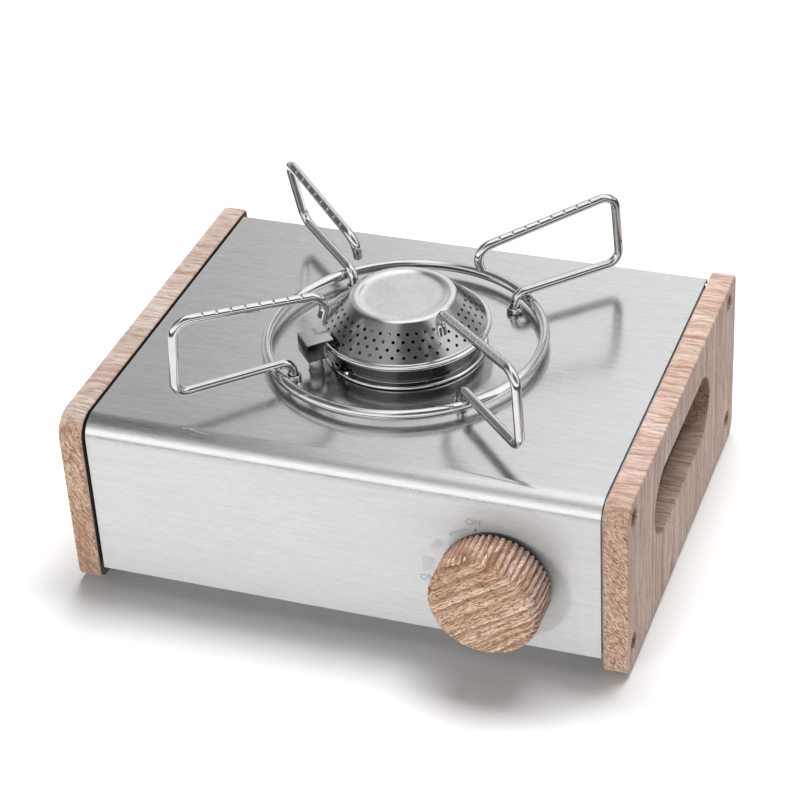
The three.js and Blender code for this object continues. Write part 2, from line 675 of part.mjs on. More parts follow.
function heatShield() {
  const foot = BASE_TOP + GAP;
  const line = [
    [SHIELD_REAR - SHIELD_FOOT, foot],
    [SHIELD_REAR, foot, REAR_BEND],
    [SHIELD_REAR, PLATE_UNDER - GAP],
  ];
  return alongX(sheetOutline(line, SHIELD_SHEET, 3), -BASE_END, SHIELD_RIGHT);
}

add("case_shell", caseShell(), brushed());
add("base_plate", basePlate(), brushed());
add("heat_shield", heatShield(), pressed());

// ---------------------------------------------------------------- burner
// A point of the cone's outer side: 0 at its top edge, 1 at its foot.
function onCone(share) {
  return new THREE.Vector2(CONE_TOP_RADIUS, CONE_TOP_HEIGHT)
    .lerp(new THREE.Vector2(CONE_FOOT_RADIUS, CONE_FOOT_HEIGHT), share);
}

function burnerCap() {
  const shoulder = (CONE_TOP_RADIUS - DISH_RADIUS) / 2;
  const outer = [
    [0, DISH_HEIGHT - DISH_SINK],
    [DISH_RADIUS - DISH_EDGE, DISH_HEIGHT - DISH_SINK],
    [DISH_RADIUS, DISH_HEIGHT],
    [DISH_RADIUS + shoulder, DISH_HEIGHT + DISH_SINK],
    [CONE_TOP_RADIUS - CONE_EDGE, CONE_TOP_HEIGHT + CONE_EDGE],
    [CONE_TOP_RADIUS, CONE_TOP_HEIGHT],
    [CONE_FOOT_RADIUS, CONE_FOOT_HEIGHT],
    [CONE_FOOT_RADIUS + CONE_SKIRT, FLANGE_TOP + GAP],
  ];
  const inner = [
    [CONE_FOOT_RADIUS - CAP_WALL, FLANGE_TOP + GAP],
    [CONE_TOP_RADIUS, CONE_TOP_HEIGHT - CAP_WALL],
    [0, DISH_HEIGHT - DISH_SINK - CAP_WALL],
  ];
  const profile = [...outer, ...inner].map(([radius, height]) => [radius, PLATE_TOP + height]);
  const cap = turned("z", profile, [BURNER_X, BURNER_Y], PORTS);
  const slope = Math.atan2(CONE_TOP_HEIGHT - CONE_FOOT_HEIGHT, CONE_FOOT_RADIUS - CONE_TOP_RADIUS);
  const cutters = [];
  for (let row = 0; row < PORT_ROWS; row++) {
    const place = onCone(PORT_FIRST + row * PORT_STEP);
    for (let i = 0; i < PORTS; i++) {
      const turn = ((i + (row % 2) / 2) * 2 * Math.PI) / PORTS;
      const drill = new THREE.CylinderGeometry(PORT_WIDTH / 2, PORT_WIDTH / 2, 5 * CAP_WALL, PORT_SIDES);
      drill.rotateZ(-slope).rotateX(Math.PI / 2).translate(place.x, 0, place.y).rotateZ(turn);
      cutters.push(solid(drill.translate(BURNER_X, BURNER_Y, PLATE_TOP)));
    }
  }
  return cut(cap, wasm.Manifold.union(cutters));
}

function burnerBody() {
  const wall = BODY_RADIUS - BODY_WALL;
  const neckBore = NECK_RADIUS - NECK_WALL;
  const profile = closed([
    [NECK_RADIUS, -NECK_DROP],
    [NECK_RADIUS, GAP],
    [LIP_RADIUS, GAP],
    [LIP_RADIUS, GAP + LIP_THICKNESS / 2],
    [LIP_RADIUS - LIP_ROUND, GAP + LIP_THICKNESS],
    [BODY_RADIUS, GAP + LIP_THICKNESS + BODY_FILLET],
    [BODY_RADIUS, FLANGE_LOW - BODY_FILLET],
    [FLANGE_RADIUS - FLANGE_ROUND, FLANGE_LOW],
    [FLANGE_RADIUS, (FLANGE_LOW + FLANGE_TOP) / 2],
    [FLANGE_RADIUS - FLANGE_ROUND, FLANGE_TOP],
    [wall, FLANGE_TOP],
    [wall, GAP + LIP_THICKNESS],
    [neckBore, GAP + LIP_THICKNESS],
    [neckBore, -NECK_DROP],
  ]).map(([radius, height]) => [radius, PLATE_TOP + height]);
  return turned("z", profile, [BURNER_X, BURNER_Y], 36);
}

add("burner_cap", burnerCap(), polished());
add("burner_body", burnerBody(), polished());
[RIVET_ANGLE, RIVET_ANGLE + 180].forEach((angle, i) => {
  const foot = PLATE_TOP + GAP + LIP_THICKNESS + GAP;
  const middle = around(BODY_RADIUS + RIVET_OUT, angle);
  const head = rod("z", foot, foot + RIVET_RISE, RIVET_RADIUS, middle, 12, RIVET_RADIUS * RIVET_TAPER);
  add(`burner_rivet_${i + 1}`, head, polished());
});

// ---------------------------------------------------------------- trivet
function trivetRing() {
  const torus = new THREE.TorusGeometry(RING_RADIUS, RING_WIRE, 8, 44);
  return solid(torus.translate(BURNER_X, BURNER_Y, PLATE_TOP + RING_HEIGHT));
}

// One support in its own frame: X runs outwards from the burner's axis, Z is the height over the plate.
function panSupport() {
  const legEnd = -(SOCKET_DEPTH - SOCKET_WALL - TRIVET_SEAT);
  const route = new BentRoute([
    [LEG_RADIUS, 0, legEnd],
    [LEG_RADIUS, 0, LOW_ROD_HEIGHT, LEG_BEND],
    [OUTER_LOW_RADIUS, 0, LOW_ROD_END_HEIGHT, OUTER_LOW_BEND],
    [OUTER_TOP_RADIUS, 0, OUTER_TOP_HEIGHT, OUTER_TOP_BEND],
    [INNER_RADIUS, 0, INNER_HEIGHT, INNER_BEND],
    [FREE_END_RADIUS, 0, FREE_END_HEIGHT],
  ], 4);
  const rise = (OUTER_TOP_HEIGHT - INNER_HEIGHT) / (OUTER_TOP_RADIUS - INNER_RADIUS);
  const notches = Array.from({ length: NOTCHES }, (_, i) => {
    const out = NOTCH_FIRST + i * NOTCH_PITCH;
    const top = INNER_HEIGHT + (out - INNER_RADIUS) * rise + WIRE / Math.cos(Math.atan(rise));
    return box(out - NOTCH_WIDTH / 2, out + NOTCH_WIDTH / 2, -WIRE, WIRE, top - NOTCH_DEPTH, top + WIRE);
  });
  return cut(swept(route, WIRE, route.steps, 8), ...notches);
}

const oneSupport = panSupport();
add("trivet_ring", trivetRing(), polished());
SUPPORT_AZIMUTHS.forEach((azimuth, i) => {
  // The lean turns the loop about its lower rod; the leg stays upright in its socket.
  const lean = (point) => {
    if (point[2] > LOW_ROD_HEIGHT) {
      const over = point[2] - LOW_ROD_HEIGHT;
      const angle = degrees(SUPPORT_LEANS[i]);
      const across = point[1];
      point[1] = across * Math.cos(angle) + over * Math.sin(angle);
      point[2] = LOW_ROD_HEIGHT + over * Math.cos(angle) - across * Math.sin(angle);
    }
  };
  const placed = oneSupport.warp(lean).rotate([0, 0, azimuth]).translate([BURNER_X, BURNER_Y, PLATE_TOP]);
  add(`pan_support_${i + 1}`, placed, polished());
  const bore = WIRE + SOCKET_FIT;
  const socket = turned("z", [
    [0, -SOCKET_DEPTH],
    [socketBarrel, -SOCKET_DEPTH],
    [socketBarrel, GAP],
    [socketBarrel + SOCKET_RIM, GAP],
    [socketBarrel + SOCKET_RIM, SOCKET_RISE - SOCKET_RIM],
    [socketBarrel, SOCKET_RISE],
    [bore, SOCKET_RISE],
    [bore, SOCKET_WALL - SOCKET_DEPTH],
    [0, SOCKET_WALL - SOCKET_DEPTH],
  ].map(([radius, height]) => [radius, PLATE_TOP + height]), around(LEG_RADIUS, azimuth), 16);
  add(`leg_socket_${i + 1}`, socket, polished());
});

// ---------------------------------------------------------------- igniter
// Local frame of the igniter: X outwards from the burner's axis, Y across, Z over the plate.
const atIgniter = (body) => body.rotate([0, 0, IGNITER_AZIMUTH]).translate([BURNER_X, BURNER_Y, PLATE_TOP]);

function sparkHood() {
  const out = HOOD_DISTANCE + HOOD_SIZE / 2;
  const half = HOOD_SIZE / 2;
  const clearOfFlange = FLANGE_RADIUS + HOOD_CLEAR;
  const tabTop = FLANGE_LOW - GAP - HOOD_TAB;
  const top = box(HOOD_DISTANCE - half, out, -half, half, HOOD_TOP - HOOD_SHEET, HOOD_TOP);
  const outerWall = box(out - HOOD_SHEET, out, -half, half, HOOD_LOW, HOOD_TOP);
  const sideOutline = shapeOf([
    [BODY_RADIUS + GAP, TAB_LOW],
    [clearOfFlange, TAB_LOW],
    [clearOfFlange + HOOD_LOW - TAB_LOW, HOOD_LOW],
    [out, HOOD_LOW],
    [out, HOOD_TOP],
    [clearOfFlange, HOOD_TOP],
    [clearOfFlange, tabTop],
    [BODY_RADIUS + GAP, tabTop],
  ]);
  const tabbedSide = alongY(sideOutline, -half, -half + HOOD_SHEET);
  const plainSide = box(clearOfFlange, out, half - HOOD_SHEET, half, HOOD_LOW, HOOD_TOP);
  return atIgniter(join(top, outerWall, tabbedSide, plainSide));
}

const ceramicTube = ring("z", PLATE_TOP - CERAMIC_DROP, CERAMIC_TOP, CERAMIC_BORE, CERAMIC_RADIUS,
  [ceramicX, ceramicY], 20);
const electrodeRoute = new BentRoute([
  [CERAMIC_DISTANCE, 0, -CERAMIC_DROP - ELECTRODE_DROP],
  [CERAMIC_DISTANCE, 0, CERAMIC_RISE + ELECTRODE_RISE, ELECTRODE_BEND],
  [FLANGE_RADIUS, 0, CERAMIC_RISE + ELECTRODE_RISE + ELECTRODE_TIP_RISE],
], 3);
add("spark_hood", sparkHood(), polished());
add("igniter_ceramic", ceramicTube, ceramic());
add("igniter_electrode", atIgniter(swept(electrodeRoute, ELECTRODE_RADIUS, electrodeRoute.steps, 8)), zinc());

// ---------------------------------------------------------------- knob, spindle and cam
const knobCentre = [KNOB_X, KNOB_Z];

function knob() {
  const levels = [0, 0.4, 0.7, 1].map((share) => {
    const angle = (share * Math.PI) / 2;
    return [KNOB_FRONT + KNOB_ROUND * (1 - Math.sin(angle)), KNOB_ROUND * (1 - Math.cos(angle))];
  });
  levels.unshift([KNOB_BACK, 0]);
  const sides = 2 * KNOB_FLUTES;
  const corners = [];
  for (const [y, inset] of levels) {
    for (let i = 0; i < sides; i++) {
      const depth = i % 2 ? FLUTE_DEPTH * Math.max(0, 1 - inset / (KNOB_ROUND / 2)) : 0;
      const radius = KNOB_RADIUS - inset - depth;
      const angle = (i * 2 * Math.PI) / sides;
      corners.push(KNOB_X + radius * Math.cos(angle), y, KNOB_Z + radius * Math.sin(angle));
    }
  }
  const faces = [];
  for (let level = 0; level < levels.length - 1; level++) {
    for (let i = 0; i < sides; i++) {
      const a = level * sides + i;
      const b = level * sides + ((i + 1) % sides);
      faces.push(a, b, b + sides, a, b + sides, a + sides);
    }
  }
  for (const [level, y] of [[0, KNOB_BACK], [levels.length - PAST, KNOB_FRONT]]) {
    const centre = corners.length / 3;
    corners.push(KNOB_X, y, KNOB_Z);
    for (let i = 0; i < sides; i++) {
      const a = level * sides + i;
      const b = level * sides + ((i + 1) % sides);
      faces.push(...(level ? [a, b, centre] : [b, a, centre]));
    }
  }
  const geometry = new THREE.BufferGeometry();
  geometry.setAttribute("position", new THREE.Float32BufferAttribute(corners, 3));
  geometry.setIndex(faces);
  const nickZ = KNOB_Z + NICK_DISTANCE - NICK_RADIUS;
  const nickRing = ring("y", KNOB_FRONT - PAST, KNOB_FRONT + NICK_DEPTH,
    NICK_RADIUS, NICK_RADIUS + NICK_WIDTH, [KNOB_X, nickZ], 20);
  const reach = 2 * NICK_RADIUS;
  const upperRight = box(KNOB_X, KNOB_X + reach, KNOB_FRONT - PAST, KNOB_FRONT + PAST, nickZ, nickZ + reach);
  return cut(
    solid(geometry),
    rod("y", KNOB_BACK - KNOB_BORE_DEPTH, KNOB_BACK + PAST, KNOB_BORE, knobCentre, 24),
    nickRing.intersect(upperRight),
  );
}

// A round bar with one flat, the flat on the +Z side.
function flatted(from, to, radius, flat, segments) {
  const bar = rod("y", from, to, radius, knobCentre, segments);
  const above = box(KNOB_X - radius, KNOB_X + radius, from - PAST, to + PAST,
    KNOB_Z + flat, KNOB_Z + radius + PAST);
  return cut(bar, above);
}

function knobInsert() {
  const flange = rod("y", INSERT_BACK - INSERT_FLANGE_THICKNESS, INSERT_BACK, INSERT_FLANGE, knobCentre, 52);
  const hub = rod("y", KNOB_BACK - KNOB_BORE_DEPTH + GAP, INSERT_BACK - INSERT_FLANGE_THICKNESS / 2,
    KNOB_BORE - GAP, knobCentre, 24);
  const bore = flatted(SPINDLE_FRONT - GAP, INSERT_BACK + PAST, SPINDLE_RADIUS + GAP, SPINDLE_FLAT + GAP, 20);
  return cut(join(flange, hub), bore);
}

function valveSpindle() {
  const valveEnd = VALVE_FRONT + SPINDLE_IN_VALVE;
  return join(
    flatted(SPINDLE_FRONT, BRACKET_FRONT - GAP, SPINDLE_RADIUS, SPINDLE_FLAT, 20),
    rod("y", BRACKET_FRONT - 2 * GAP, valveEnd, SPINDLE_RADIUS, knobCentre, 20),
  );
}

// A face cam: a hub and disc on the spindle, with a helical ramp that lifts the plunger as the knob turns.
function ignitionCam() {
  const disc = rod("y", CAM_FRONT, CAM_BACK, CAM_RADIUS, knobCentre, 32);
  const hub = rod("y", CAM_FRONT, BRACKET_FRONT - 2 * GAP, CAM_HUB, knobCentre, 24);
  const inner = PLUNGER_DISTANCE - CAM_TRACK / 2;
  const outer = PLUNGER_DISTANCE + CAM_TRACK / 2;
  const stations = 16;
  // The knob turns anticlockwise seen from the front, so the ramp trails clockwise from the plunger.
  const start = degrees(-90 - CAM_LEAD);
  const length = degrees(KNOB_TRAVEL + 2 * CAM_LEAD);
  const corners = [];
  for (let i = 0; i <= stations; i++) {
    const along = (length * i) / stations;
    const lift = THREE.MathUtils.clamp((along - degrees(CAM_LEAD)) / degrees(KNOB_TRAVEL), 0, 1);
    const angle = start - along + 2 * degrees(CAM_LEAD);
    for (const [radius, y] of [[inner, CAM_FRONT], [outer, CAM_FRONT], [outer, 0], [inner, 0]]) {
      const height = y || CAM_BACK + CAM_RISE * lift + (lift ? 0 : -GAP / 2);
      corners.push(KNOB_X + radius * Math.cos(angle), height, KNOB_Z + radius * Math.sin(angle));
    }
  }
  const faces = [];
  for (let i = 0; i < stations; i++) {
    for (let k = 0; k < 4; k++) {
      const a = 4 * i + k;
      const b = 4 * i + ((k + 1) % 4);
      faces.push(a, b, b + 4, a, b + 4, a + 4);
    }
  }
  const last = 4 * stations;
  faces.push(0, 2, 1, 0, 3, 2, last, last + 1, last + 2, last, last + 2, last + 3);
  const geometry = new THREE.BufferGeometry();
  geometry.setAttribute("position", new THREE.Float32BufferAttribute(corners, 3));
  geometry.setIndex(faces);
  const bore = flatted(CAM_FRONT - PAST, BRACKET_FRONT + PAST, SPINDLE_RADIUS + GAP, SPINDLE_FLAT + GAP, 20);
  return cut(join(disc, hub, solid(geometry)), bore);
}

add("knob", knob(), wood());
add("knob_insert", knobInsert(), plastic());
add("valve_spindle", valveSpindle(), brass());
add("ignition_cam", ignitionCam(), plastic());

// ---------------------------------------------------------------- valve, its bracket and the piezo unit
const jetLine = VALVE_FRONT + TUBE_BACK;
const pipeLine = VALVE_FRONT + PIPE_BACK;
const valveLeft = KNOB_X - VALVE_WIDTH / 2;
const valveRight = KNOB_X + VALVE_WIDTH / 2;

function valveBody() {
  const block = box(valveLeft, valveRight, VALVE_FRONT, VALVE_FRONT + VALVE_LENGTH,
    KNOB_Z - VALVE_HEIGHT / 2, KNOB_Z + VALVE_HEIGHT / 2);
  const jetBoss = rod("x", valveLeft - JET_BOSS, valveLeft + PAST, JET_BOSS_RADIUS, [jetLine, KNOB_Z], 20);
  const pipeBoss = rod("x", valveRight - PAST, valveRight + JET_BOSS, PORT_BOSS, [pipeLine, CANISTER_Z], 20);
  const screwHoles = [-1, 1].map((side) => rod("y", VALVE_FRONT - PAST, VALVE_FRONT + VALVE_SCREW_LENGTH,
    VALVE_SCREW + SCREW_FIT, [KNOB_X + side * VALVE_SCREW_SPREAD, KNOB_Z + VALVE_SCREW_SPREAD], 12));
  const spindleBore = rod("y", VALVE_FRONT - PAST, VALVE_FRONT + SPINDLE_IN_VALVE + GAP, SPINDLE_RADIUS + GAP,
    knobCentre, 20);
  return cut(join(block, jetBoss, pipeBoss), spindleBore, ...screwHoles);
}

function valveBracket() {
  const left = KNOB_X - BRACKET_HALF;
  const right = KNOB_X + BRACKET_HALF;
  const foot = -FACE_INSIDE + GAP;
  const rear = BRACKET_FRONT + BRACKET_SHEET;
  const low = KNOB_Z - BRACKET_HEIGHT;
  const high = KNOB_Z + BRACKET_HEIGHT;
  const ears = [[left - BRACKET_EAR, left], [right, right + BRACKET_EAR]]
    .map(([x0, x1]) => box(x0, x1, foot, foot + BRACKET_SHEET, low, high));
  const legs = [[left, left + BRACKET_SHEET], [right - BRACKET_SHEET, right]]
    .map(([x0, x1]) => box(x0, x1, foot, rear, low, high));
  const bridge = box(left, right, BRACKET_FRONT, rear, low, high);
  const tailHalf = PIEZO_RADIUS + BRACKET_TAIL_MARGIN;
  const tail = box(KNOB_X - tailHalf, KNOB_X + tailHalf, BRACKET_FRONT, rear, KNOB_Z - BRACKET_TAIL, KNOB_Z);
  const screwHoles = [-1, 1].map((side) => rod("y", BRACKET_FRONT - PAST, VALVE_FRONT,
    VALVE_SCREW + SCREW_FIT, [KNOB_X + side * VALVE_SCREW_SPREAD, KNOB_Z + VALVE_SCREW_SPREAD], 12));
  return cut(
    join(...ears, ...legs, bridge, tail),
    rod("y", BRACKET_FRONT - PAST, VALVE_FRONT, SPINDLE_RADIUS + GAP, knobCentre, 20),
    rod("y", BRACKET_FRONT - PAST, VALVE_FRONT, PIEZO_RADIUS + GAP, [KNOB_X, PIEZO_Z], 24),
    ...screwHoles,
  );
}

function valveScrew(side) {
  const place = [KNOB_X + side * VALVE_SCREW_SPREAD, KNOB_Z + VALVE_SCREW_SPREAD];
  const under = BRACKET_FRONT - GAP;
  return join(
    rod("y", under - VALVE_SCREW_HEAD / 2, under, VALVE_SCREW_HEAD, place, 16),
    rod("y", under - 0.1, VALVE_FRONT + VALVE_SCREW_LENGTH - GAP, VALVE_SCREW, place, 12),
  );
}

const piezoBody = cut(
  rod("y", PIEZO_FRONT, PIEZO_FRONT + PIEZO_LENGTH, PIEZO_RADIUS, [KNOB_X, PIEZO_Z], 24),
  rod("y", PIEZO_FRONT - PAST, PIEZO_FRONT + PLUNGER_LENGTH - PLUNGER_SHOWS + CAM_RISE + GAP,
    PLUNGER_RADIUS + PLUNGER_FIT, [KNOB_X, PIEZO_Z], 12),
);
const plungerFront = CAM_BACK + GAP;
const plunger = rod("y", plungerFront, plungerFront + PLUNGER_LENGTH, PLUNGER_RADIUS, [KNOB_X, PIEZO_Z], 12);

add("valve_body", valveBody(), casting());
add("valve_bracket", valveBracket(), zinc());
[-1, 1].forEach((side, i) => add(`valve_screw_${i + 1}`, valveScrew(side), zinc()));
add("piezo_unit", piezoBody, plastic());
add("piezo_plunger", plunger, brass());

// ---------------------------------------------------------------- gas path
const jetTip = valveLeft - JET_BOSS - GAP - JET_LENGTH;
const jet = ring("x", jetTip, jetTip + JET_LENGTH, JET_BORE, JET_RADIUS, [jetLine, KNOB_Z], 16);
const tubeRoute = new BentRoute([
  [jetTip + JET_IN_TUBE, jetLine, KNOB_Z],
  [BURNER_X, jetLine, KNOB_Z, TUBE_BEND],
  [BURNER_X, BURNER_Y, KNOB_Z, TUBE_BEND],
  [BURNER_X, BURNER_Y, PLATE_TOP - NECK_DROP + TUBE_IN_NECK],
], 5);

const pipeX = REGULATOR_FACE + REGULATOR_LENGTH / 2;

function regulator() {
  const centre = [CANISTER_Y, CANISTER_Z];
  const flangeFront = REGULATOR_BACK - REGULATOR_FLANGE_THICKNESS;
  const body = turned("x", [
    [0, REGULATOR_FACE + REGULATOR_SOCKET_DEPTH],
    [REGULATOR_SOCKET, REGULATOR_FACE + REGULATOR_SOCKET_DEPTH],
    [REGULATOR_SOCKET, REGULATOR_FACE],
    [REGULATOR_BODY - REGULATOR_CHAMFER, REGULATOR_FACE],
    [REGULATOR_BODY, REGULATOR_FACE + REGULATOR_CHAMFER],
    [REGULATOR_BODY, flangeFront],
    [REGULATOR_FLANGE, flangeFront],
    [REGULATOR_FLANGE, REGULATOR_BACK],
    [0, REGULATOR_BACK],
  ], centre, 24);
  const side = CANISTER_Y - REGULATOR_BODY;
  const port = rod("y", side - PORT_BOSS_LENGTH, side + PORT_BOSS, PORT_BOSS, [pipeX, CANISTER_Z], 20);
  return join(body, port);
}

const magnetRear = REGULATOR_FACE - GAP;
const magnetRing = ring("x", magnetRear - MAGNET_THICKNESS, magnetRear, MAGNET_BORE, MAGNET_RADIUS,
  [CANISTER_Y, CANISTER_Z], 24);
const pipeRoute = new BentRoute([
  [pipeX, CANISTER_Y - REGULATOR_BODY - PORT_BOSS_LENGTH - GAP, CANISTER_Z],
  [pipeX, pipeLine, CANISTER_Z, PIPE_BEND],
  [valveRight + JET_BOSS + GAP, pipeLine, CANISTER_Z],
], 5);

add("gas_jet", jet, brass());
add("mixing_tube", swept(tubeRoute, TUBE_RADIUS, tubeRoute.steps, 12, TUBE_RADIUS - TUBE_WALL), casting());
add("regulator", regulator(), casting());
add("canister_magnet", magnetRing, ferrite());
add("feed_pipe", swept(pipeRoute, PIPE_RADIUS, pipeRoute.steps, 10), copper());

// The lead drops to the base plate, crosses below the mixing tube and rises to the electrode.
const leadStart = PIEZO_FRONT + PIEZO_LENGTH + GAP;
const leadEnd = PLATE_TOP - CERAMIC_DROP - ELECTRODE_DROP - GAP;
const leadLow = BASE_TOP + LEAD_RISE;
const leadLine = ceramicY + LEAD_RUN / 2;
const leadSpan = KNOB_X - ceramicX;
const leadRoute = new THREE.CatmullRomCurve3([
  new THREE.Vector3(KNOB_X, leadStart, PIEZO_Z),
  new THREE.Vector3(KNOB_X - LEAD_RADIUS, leadStart + LEAD_RUN, PIEZO_Z - LEAD_RADIUS / 2),
  new THREE.Vector3(KNOB_X - leadSpan * LEAD_TURNS[0], leadLine - LEAD_RADIUS, leadLow + LEAD_RADIUS),
  new THREE.Vector3(KNOB_X - leadSpan * LEAD_TURNS[1], leadLine, leadLow),
  new THREE.Vector3(KNOB_X - leadSpan * LEAD_TURNS[2], leadLine, leadLow),
  new THREE.Vector3(ceramicX + LEAD_RADIUS, ceramicY, (leadLow + leadEnd) / 2 - 2 * LEAD_RUN),
  new THREE.Vector3(ceramicX, ceramicY, leadEnd - LEAD_RUN),
  new THREE.Vector3(ceramicX, ceramicY, leadEnd),
]);
add("spark_lead", swept(leadRoute, LEAD_RADIUS, 20, 8), rubber());

// ---------------------------------------------------------------- rear door
const knuckleRadius = PIN_RADIUS + PIN_FIT + KNUCKLE_WALL;
const hingeCentre = [HINGE_Y, HINGE_Z];
const knuckle = (from, to) => rod("x", from, to, knuckleRadius, hingeCentre, 16);
const pinBore = (from, to) => rod("x", from, to, PIN_RADIUS + PIN_FIT, hingeCentre, 12);

// Door knuckles lie outside the hinge's own, on either side of the middle.
function rearDoor() {
  const half = PANEL_INNER - DOOR_END_GAP;
  const top = PLATE_TOP - REAR_LIP - DOOR_TOP_GAP;
  const outline = roundedRectangle(THREE.Shape, -half, half, HINGE_Z, top, DOOR_CORNER);
  let door = alongY(outline, FACE_INSIDE + GAP, FACE);
  for (const side of [-1, 1]) {
    const inner = HINGE_SPREAD + GAP;
    const [from, to] = ordered(side * inner, side * (inner + KNUCKLE_LENGTH));
    door = cut(join(door, knuckle(from, to)), pinBore(from - PAST, to + PAST));
    const [gapFrom, gapTo] = ordered(side * inner, side * (HINGE_SPREAD - KNUCKLE_LENGTH - GAP));
    const reliefTop = HINGE_Z + knuckleRadius + HINGE_RELIEF;
    door = cut(door, box(gapFrom, gapTo, FACE_INSIDE, FACE + PAST, HINGE_Z - knuckleRadius, reliefTop));
  }
  return cut(door, rod("y", FACE_INSIDE, FACE + PAST, DOOR_NOTCH, [0, top], 24));
}

function doorHinge(side) {
  const [from, to] = ordered(side * HINGE_SPREAD, side * (HINGE_SPREAD - KNUCKLE_LENGTH));
  const leafTop = SHELL_FOOT - GAP;
  const leaf = box(from, to, HINGE_Y - HINGE_LEAF, HINGE_Y, leafTop - HINGE_SHEET, leafTop);
  const web = box(from, to, HINGE_Y - knuckleRadius, HINGE_Y - knuckleRadius + HINGE_SHEET,
    HINGE_Z, leafTop - HINGE_SHEET / 2);
  return cut(join(leaf, web, knuckle(from, to)), pinBore(from - PAST, to + PAST));
}

add("rear_door", rearDoor(), brushed());
for (const [name, side] of SIDES) {
  add(`door_hinge_${name}`, doorHinge(side), zinc());
  const pinEnds = [HINGE_SPREAD - KNUCKLE_LENGTH, HINGE_SPREAD + GAP + KNUCKLE_LENGTH];
  const [from, to] = ordered(...pinEnds.map((end) => side * end));
  add(`hinge_pin_${name}`, rod("x", from, to, PIN_RADIUS, hingeCentre, 12), zinc());
}
const [blockWidth, blockDepth, blockHeight] = MAGNET_BLOCK;
const blockLow = PANEL_FOOT + MAGNET_BLOCK_UP - blockHeight / 2;
add("door_magnet", box(BASE_END - blockWidth, BASE_END, FACE_INSIDE - blockDepth, FACE_INSIDE,
  blockLow, blockLow + blockHeight), ferrite());

export default stove;
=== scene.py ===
"""Camping stove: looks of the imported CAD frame. Metres, +Z up, the knob faces -Y."""
import math
import bmesh
import bpy
import numpy as np
from mathutils import Matrix, Vector
from mathutils.geometry import tessellate_polygon


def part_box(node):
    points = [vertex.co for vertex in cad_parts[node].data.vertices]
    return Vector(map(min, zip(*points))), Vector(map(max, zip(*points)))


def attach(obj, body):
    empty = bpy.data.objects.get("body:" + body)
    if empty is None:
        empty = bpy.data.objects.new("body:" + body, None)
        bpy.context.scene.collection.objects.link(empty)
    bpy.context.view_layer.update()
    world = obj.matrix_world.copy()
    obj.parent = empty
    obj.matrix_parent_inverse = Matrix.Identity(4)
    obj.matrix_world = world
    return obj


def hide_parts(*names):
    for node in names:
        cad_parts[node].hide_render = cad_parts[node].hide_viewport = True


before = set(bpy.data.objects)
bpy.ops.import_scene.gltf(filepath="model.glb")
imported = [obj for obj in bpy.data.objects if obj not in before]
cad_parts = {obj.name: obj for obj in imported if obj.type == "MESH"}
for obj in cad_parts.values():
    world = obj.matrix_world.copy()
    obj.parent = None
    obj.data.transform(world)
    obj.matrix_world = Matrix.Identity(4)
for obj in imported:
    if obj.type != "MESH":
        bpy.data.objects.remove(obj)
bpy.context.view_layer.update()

MM = 0.001
FULL_TURN = 2 * math.pi

# ---- camera, fitted to the photograph
CAMERA_PLACE = (0.30532, -0.78175, 0.62846)
CAMERA_RIGHT = (0.942037, 0.331560, -0.051318)
CAMERA_DOWN = (0.146546, -0.544224, -0.826042)
CAMERA_AHEAD = (-0.301811, 0.770642, -0.561268)
CAMERA_LENS = 110.457


def make_camera():
    data = bpy.data.cameras.new("camera")
    data.lens = CAMERA_LENS
    data.sensor_width = 36
    data.clip_start, data.clip_end = 0.01, 20
    camera = bpy.data.objects.new("camera", data)
    bpy.context.scene.collection.objects.link(camera)
    right, down, ahead = (Vector(v) for v in (CAMERA_RIGHT, CAMERA_DOWN, CAMERA_AHEAD))
    turn = Matrix((right, -down, -ahead)).transposed().to_4x4()
    camera.matrix_world = Matrix.Translation(CAMERA_PLACE) @ turn
    bpy.context.scene.camera = camera


make_camera()


